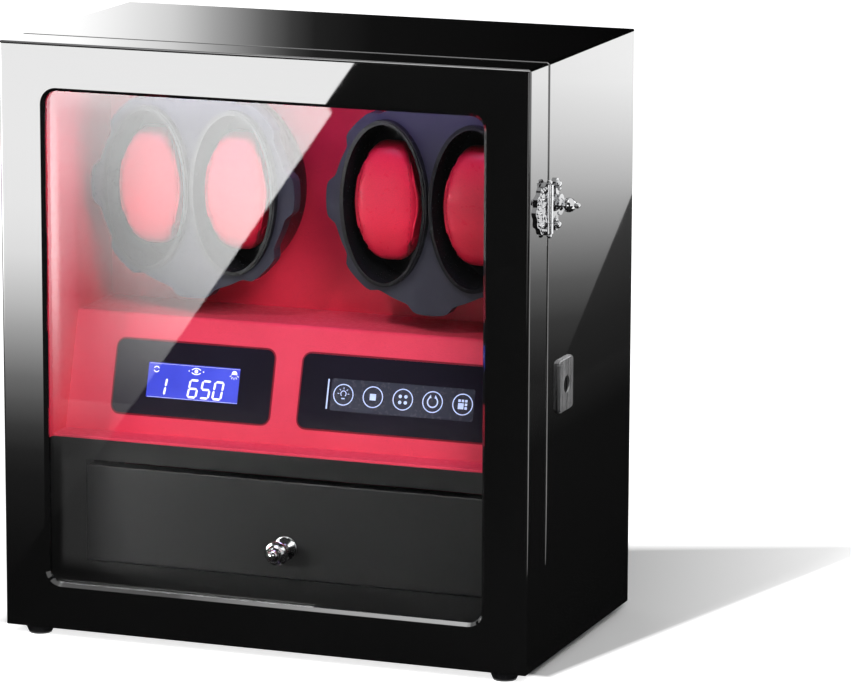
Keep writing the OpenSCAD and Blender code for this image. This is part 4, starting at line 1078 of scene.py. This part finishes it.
class Shade:
    """Node maths for the stage: values from object coordinates, for the floor and the reflectors."""

    def __init__(self, name):
        self.mat = node_material(name)
        self.new, self.link = self.mat.node_tree.nodes.new, self.mat.node_tree.links.new
        self.split = self.new("ShaderNodeSeparateXYZ")
        self.link(self.new("ShaderNodeTexCoord").outputs["Object"], self.split.inputs[0])

    def math(self, operation, a, b=None, clamp=False):
        node = self.new("ShaderNodeMath")
        node.operation, node.use_clamp = operation, clamp
        for socket, value in zip(node.inputs, (a, b)):
            if isinstance(value, (int, float)):
                socket.default_value = value
            elif value is not None:
                self.link(value, socket)
        return node.outputs[0]

    def times(self, a, b):
        return self.math("MULTIPLY", a, b)

    def plus(self, a, b):
        return self.math("ADD", a, b)

    def rest(self, value):
        """What a value leaves of 1."""
        return self.math("SUBTRACT", 1.0, value)

    def most(self, *values):
        """The largest of some values."""
        top = values[0]
        for value in values[1:]:
            top = self.math("MAXIMUM", top, value)
        return top

    def along(self, x=0.0, y=0.0, z=0.0, offset=0.0):
        """A linear function of the place."""
        total = self.times(self.split.outputs["X"], x)
        for axis, k in (("Y", y), ("Z", z)):
            total = self.plus(total, self.times(self.split.outputs[axis], k))
        return self.plus(total, offset)

    def through(self, spot, **slopes):
        """A linear function of the place that is 0 at a spot."""
        return self.along(offset=-sum(k * spot[axis] for axis, k in slopes.items()), **slopes)

    def curve(self, value, stops):
        """A value looked up between stops, each (place, height)."""
        first, last = stops[0][0], stops[-1][0]
        top = max(h for _, h in stops)
        place = self.math("DIVIDE", self.math("SUBTRACT", value, first), last - first, True)
        node = self.new("ShaderNodeValToRGB")
        while len(node.color_ramp.elements) < len(stops):
            node.color_ramp.elements.new(0.5)
        for element, (x, h) in zip(node.color_ramp.elements, stops):
            element.position = (x - first) / (last - first)
            element.color = (h / top, h / top, h / top, 1)
        self.link(place, node.inputs["Fac"])
        return self.times(node.outputs["Color"], top)

    def step(self, value, width):
        """0 below zero, 1 above width."""
        return self.math("DIVIDE", value, width, True)

    def emit(self, strength):
        node = self.new("ShaderNodeEmission")
        self.link(strength, node.inputs["Strength"])
        return node.outputs[0]

    def finish(self, shader):
        self.link(shader, self.new("ShaderNodeOutputMaterial").inputs["Surface"])
        return self.mat


def reflector(name, x, y, z, make):
    """A card that only glossy and transmitted rays see, lit by a function of the place on it."""
    card = plane(name, x, y, z)
    shade = Shade(name)
    card.data.materials.append(shade.finish(shade.emit(make(shade))))
    for ray in ("camera", "diffuse", "volume_scatter", "shadow"):
        setattr(card, "visible_" + ray, False)


# Strength of the cards: stops of (place, part of the gain), with the places in metres
FRONT_GAIN, SIDE_GAIN, TOP_GAIN = 12.5, 3.0, 1.7
FRONT_UP = [(0.0, 0.085), (0.0167, 0.135), (0.0352, 0.235), (0.0537, 0.345), (0.071, 0.475), (0.0895, 0.595),
            (0.108, 0.708), (0.1266, 0.753), (0.145, 0.783), (0.19, 0.8), (0.3, 0.8), (0.36, 0.0)]
EDGE_BEND = [(0.0, 0.0115), (0.2225, 0.0065), (0.2265, 0.0), (0.9, 0.0)]
DIP_ACROSS = [(-0.411, 0.0), (-0.4075, 0.8), (-0.395, 1.0), (-0.386, 1.0), (-0.373, 0.85), (-0.364, 0.75),
              (-0.338, 0.5), (-0.306, 0.3), (-0.27, 0.1), (-0.24, 0.0)]
DIP_UP = [(0.0, 0.5), (0.048, 0.7), (0.078, 0.85), (0.108, 0.72), (0.145, 0.6), (0.183, 0.38), (0.21, 0.28),
          (0.2245, 0.0)]
FRONT_LEFT = [(-1.1, 4.0), (-0.6, 4.0), (-0.5, 1.6), (-0.46, 1.0), (0.7, 1.0)]
FRONT_FLOOR = [(-0.6925, 0.085), (-0.609, 0.034), (-0.537, 0.0125), (-0.47, 0.006), (-0.275, 0.001),
               (-0.1, 0.0)]
PANE_ACROSS = [(-0.13, 0.0), (-0.127, 0.28), (-0.085, 0.28), (-0.04, 0.1), (0.02, 0.0)]
PANE_ALONG = [(-0.6, 0.0), (-0.5, 1.0), (-0.27, 1.0), (-0.235, 0.0)]
SIDE_UP = [(0.0, 0.013), (0.0177, 0.021), (0.0407, 0.036), (0.0695, 0.09), (0.088, 0.156), (0.106, 0.231),
           (0.125, 0.323), (0.143, 0.43), (0.161, 0.52), (0.18, 0.617), (0.198, 0.69), (0.217, 0.768),
           (0.2356, 0.79), (0.5, 0.82)]
SIDE_RIGHT = [(0.0, 0.01), (0.033, 0.0137), (0.051, 0.0185), (0.087, 0.03), (0.2, 0.08)]
SIDE_FLOOR = [(0.165, 0.002), (0.36, 0.004), (0.413, 0.012)]
TOP_ALONG = [(-0.6, 0.95), (-0.45, 0.9), (-0.42, 0.78), (-0.381, 0.615), (-0.355, 0.51), (-0.3217, 0.29),
             (-0.3, 0.178), (-0.2826, 0.094), (-0.262, 0.035), (-0.2438, 0.012), (-0.2, 0.004), (0.0, 0.001)]
KNOB_ACROSS = [(0.06, 0.0), (0.17, 2.8), (0.23, 2.8), (0.34, 0.0)]
KNOB_UP = [(0.08, 0.0), (0.2, 1.0), (0.28, 1.0), (0.4, 0.0)]
BEVEL_ACROSS = [(-0.45, 1.5), (-0.3, 4.2), (0.0, 7.5)]
FRONT_GLOW, FLOOR_GLOW, CORNER_GLOW = 0.02, 0.015, 0.03    # what a card shows where it is unlit


def front_card(s):
    """Lit left of a slanting edge, with a dimmer patch."""
    up, across = s.along(z=1), s.along(x=1)
    edge = s.plus(s.through({"x": -0.1745, "z": 0.2623}, x=-1, z=0.718), s.curve(up, EDGE_BEND))
    dip = s.times(s.curve(across, DIP_ACROSS), s.curve(up, DIP_UP))
    lit = s.times(s.times(s.curve(up, FRONT_UP), FRONT_GAIN), s.rest(dip))
    lit = s.times(lit, s.curve(across, FRONT_LEFT))
    return s.plus(s.times(lit, s.step(edge, 0.0015)), FRONT_GLOW)


def front_floor(s):
    """Ground before the box that the lacquer shows, with a glow for the pane."""
    lit = s.times(s.curve(s.along(y=1), FRONT_FLOOR), FRONT_GAIN)
    inside = s.step(s.through({"x": -0.3315, "y": -0.6217}, x=-1, y=0.281), 0.002)
    low = s.times(s.curve(s.along(x=1, y=-0.4646, offset=-0.0418), PANE_ACROSS),
                  s.curve(s.along(y=1), PANE_ALONG))
    return s.plus(s.times(lit, inside), s.plus(low, FLOOR_GLOW))


def side_card(s):
    """Bright above a slanting edge and dim below it."""
    left = s.curve(s.through({"y": 0.76, "z": 0}, y=0.145, z=1), SIDE_UP)
    right = s.curve(s.along(z=1), SIDE_RIGHT)
    inside = s.step(s.through({"y": 0.7453, "z": 0.0473}, y=-0.63, z=1), 0.002)
    return s.times(s.plus(s.times(left, inside), s.times(right, s.rest(inside))), SIDE_GAIN)


def side_floor(s):
    return s.times(s.curve(s.along(x=1), SIDE_FLOOR), SIDE_GAIN)


def top_card(s):
    return s.times(s.curve(s.along(x=1), TOP_ALONG), TOP_GAIN)


def knob_card(s):
    return s.times(s.curve(s.along(x=1), KNOB_ACROSS), s.curve(s.along(z=1), KNOB_UP))


CARD_Y, CARD_X, BACK_Y, FLAG_Z = -0.6925, 0.413, 0.6, 0.001
reflector("front_reflector", (-1.1, 0.7), CARD_Y, (0, 0.9), front_card)
reflector("front_flag", (-1.1, 0.4), (CARD_Y, -0.06), FLAG_Z, front_floor)
reflector("side_reflector", CARD_X, (0.3, 1.3), (0, 0.5), side_card)
reflector("side_flag", (0.15, CARD_X), (-0.1, 1.3), FLAG_Z, side_floor)
reflector("top_reflector", (-0.6, 0.5), BACK_Y, (0.355, 0.62), top_card)
# soft light in front, for the drawer's knob
reflector("knob_reflector", (0.06, 0.34), -0.68, (0.08, 0.4), knob_card)
# dark ground that the rounded front corner and the seam beside it show
reflector("corner_flag", (0.2, 1.9), (-1.1, -0.1), FLAG_Z, lambda s: s.along(offset=CORNER_GLOW))
# strip overhead that the lower bevel of the window shows
reflector("bevel_reflector", (-0.45, 0.15), (-0.42, -0.12), 0.95,
          lambda s: s.curve(s.along(x=1), BEVEL_ACROSS))


def seen_rays(new, link):
    """1 for camera, glossy and transmission rays, in any shader tree."""
    path, near, either = new("ShaderNodeLightPath"), new("ShaderNodeMath"), new("ShaderNodeMath")
    near.operation = either.operation = "MAXIMUM"
    link(path.outputs["Is Camera Ray"], near.inputs[0])
    link(path.outputs["Is Glossy Ray"], near.inputs[1])
    link(near.outputs[0], either.inputs[0])
    link(path.outputs["Is Transmission Ray"], either.inputs[1])
    return either.outputs[0]


FLOOR_GREY, FLOOR_FRONT = 0.8, 0.8     # diffuse colour, and glow before and beside the box
# painted light: how the glow fades the shadow out towards the right
SHADOW_FADE = [(0.15, 0.0), (0.19, 0.04), (0.26, 0.23), (0.33, 0.45), (0.6, 0.9)]


def floor():
    """A pale floor that keeps the sun's shadow, with a glow that is painted light: its edge is drawn along
    the shadow's edge, it fades the shadow out to the right and far behind, and in front it reaches under the
    box's front edge, where it hides the contact shadow.
    """
    ground = plane("floor", (-7, 7), (-7, 7), 0)
    s = Shade("floor")
    # painted light: glow that grows towards the right and fades the shadow out
    shadow_fade = s.curve(s.along(x=0.936, y=0.352), SHADOW_FADE)
    # painted light: glow that cuts the shadow off far behind the box
    behind = s.step(s.along(x=-0.3515, y=0.9362, offset=-0.175), 0.03)
    # painted light: glow on the lit side of a line drawn along the shadow's edge
    shadow_edge_glow = s.step(s.along(x=0.9724, y=-0.2333, offset=-0.9724 * 0.171 - 0.2333 * 0.084 + 0.009), 0.008)
    # painted light: glow in front that reaches under the box's front edge and hides the contact shadow
    before = s.step(s.along(y=-1, offset=-0.066), 0.006)
    left = s.step(s.along(x=-1, offset=-0.165), 0.02)
    level = s.most(shadow_fade, behind, s.times(s.most(shadow_edge_glow, before, left), FLOOR_FRONT))
    spread, add = s.new("ShaderNodeBsdfDiffuse"), s.new("ShaderNodeAddShader")
    spread.inputs["Color"].default_value = (FLOOR_GREY, FLOOR_GREY, FLOOR_GREY, 1)
    s.link(spread.outputs[0], add.inputs[0])
    s.link(s.emit(s.times(level, seen_rays(s.new, s.link))), add.inputs[1])
    ground.data.materials.append(s.finish(add.outputs[0]))


def world(fill):
    """White where it is seen, mirrored or seen through glass, and a plain soft fill for the rest."""
    made = bpy.data.worlds.new("world")
    made.use_nodes = True
    made.node_tree.nodes.clear()
    new, link = made.node_tree.nodes.new, made.node_tree.links.new
    mix, out = new("ShaderNodeMixShader"), new("ShaderNodeOutputWorld")
    link(seen_rays(new, link), mix.inputs["Fac"])
    for place, strength in ((1, fill), (2, 1.0)):
        light = new("ShaderNodeBackground")
        light.inputs["Color"].default_value, light.inputs["Strength"].default_value = (1, 1, 1, 1), strength
        link(light.outputs[0], mix.inputs[place])
    link(mix.outputs[0], out.inputs["Surface"])
    bpy.context.scene.world = made


def lamp(name, kind, place, aim, power, size, colour=(1, 1, 1), tall=None):
    """A lamp at place that shines along aim and that mirrors don't show; a sun's size is in degrees."""
    data = bpy.data.lights.new(name, kind)
    data.energy, data.color = power, colour
    if kind == "SUN":
        data.angle = math.radians(size)
    else:
        data.shape, data.size, data.size_y = "RECTANGLE", size, tall or size
    light = linked(name, data)
    light.matrix_world = aimed(place, aim)
    light.visible_camera = light.visible_glossy = False


WORLD_FILL, SHELF_COLOUR = 0.22, (0.6, 0.5, 1.0)

floor()
world(WORLD_FILL)
lamp("key", "SUN", (-1, -3, 3), (0.17, 0.7, -0.69), power=0.9, size=4)
lamp("front_fill", "AREA", (1.5, -2.15, 1.7), (-0.5, 0.74, -0.5), power=66, size=1.2)
lamp("shelf_light", "AREA", (0, -0.0373, 0.3325), (0, 0.12, -1), power=0.12, size=0.24, colour=SHELF_COLOUR,
     tall=0.01)

bpy.context.scene.view_settings.view_transform = "Standard"
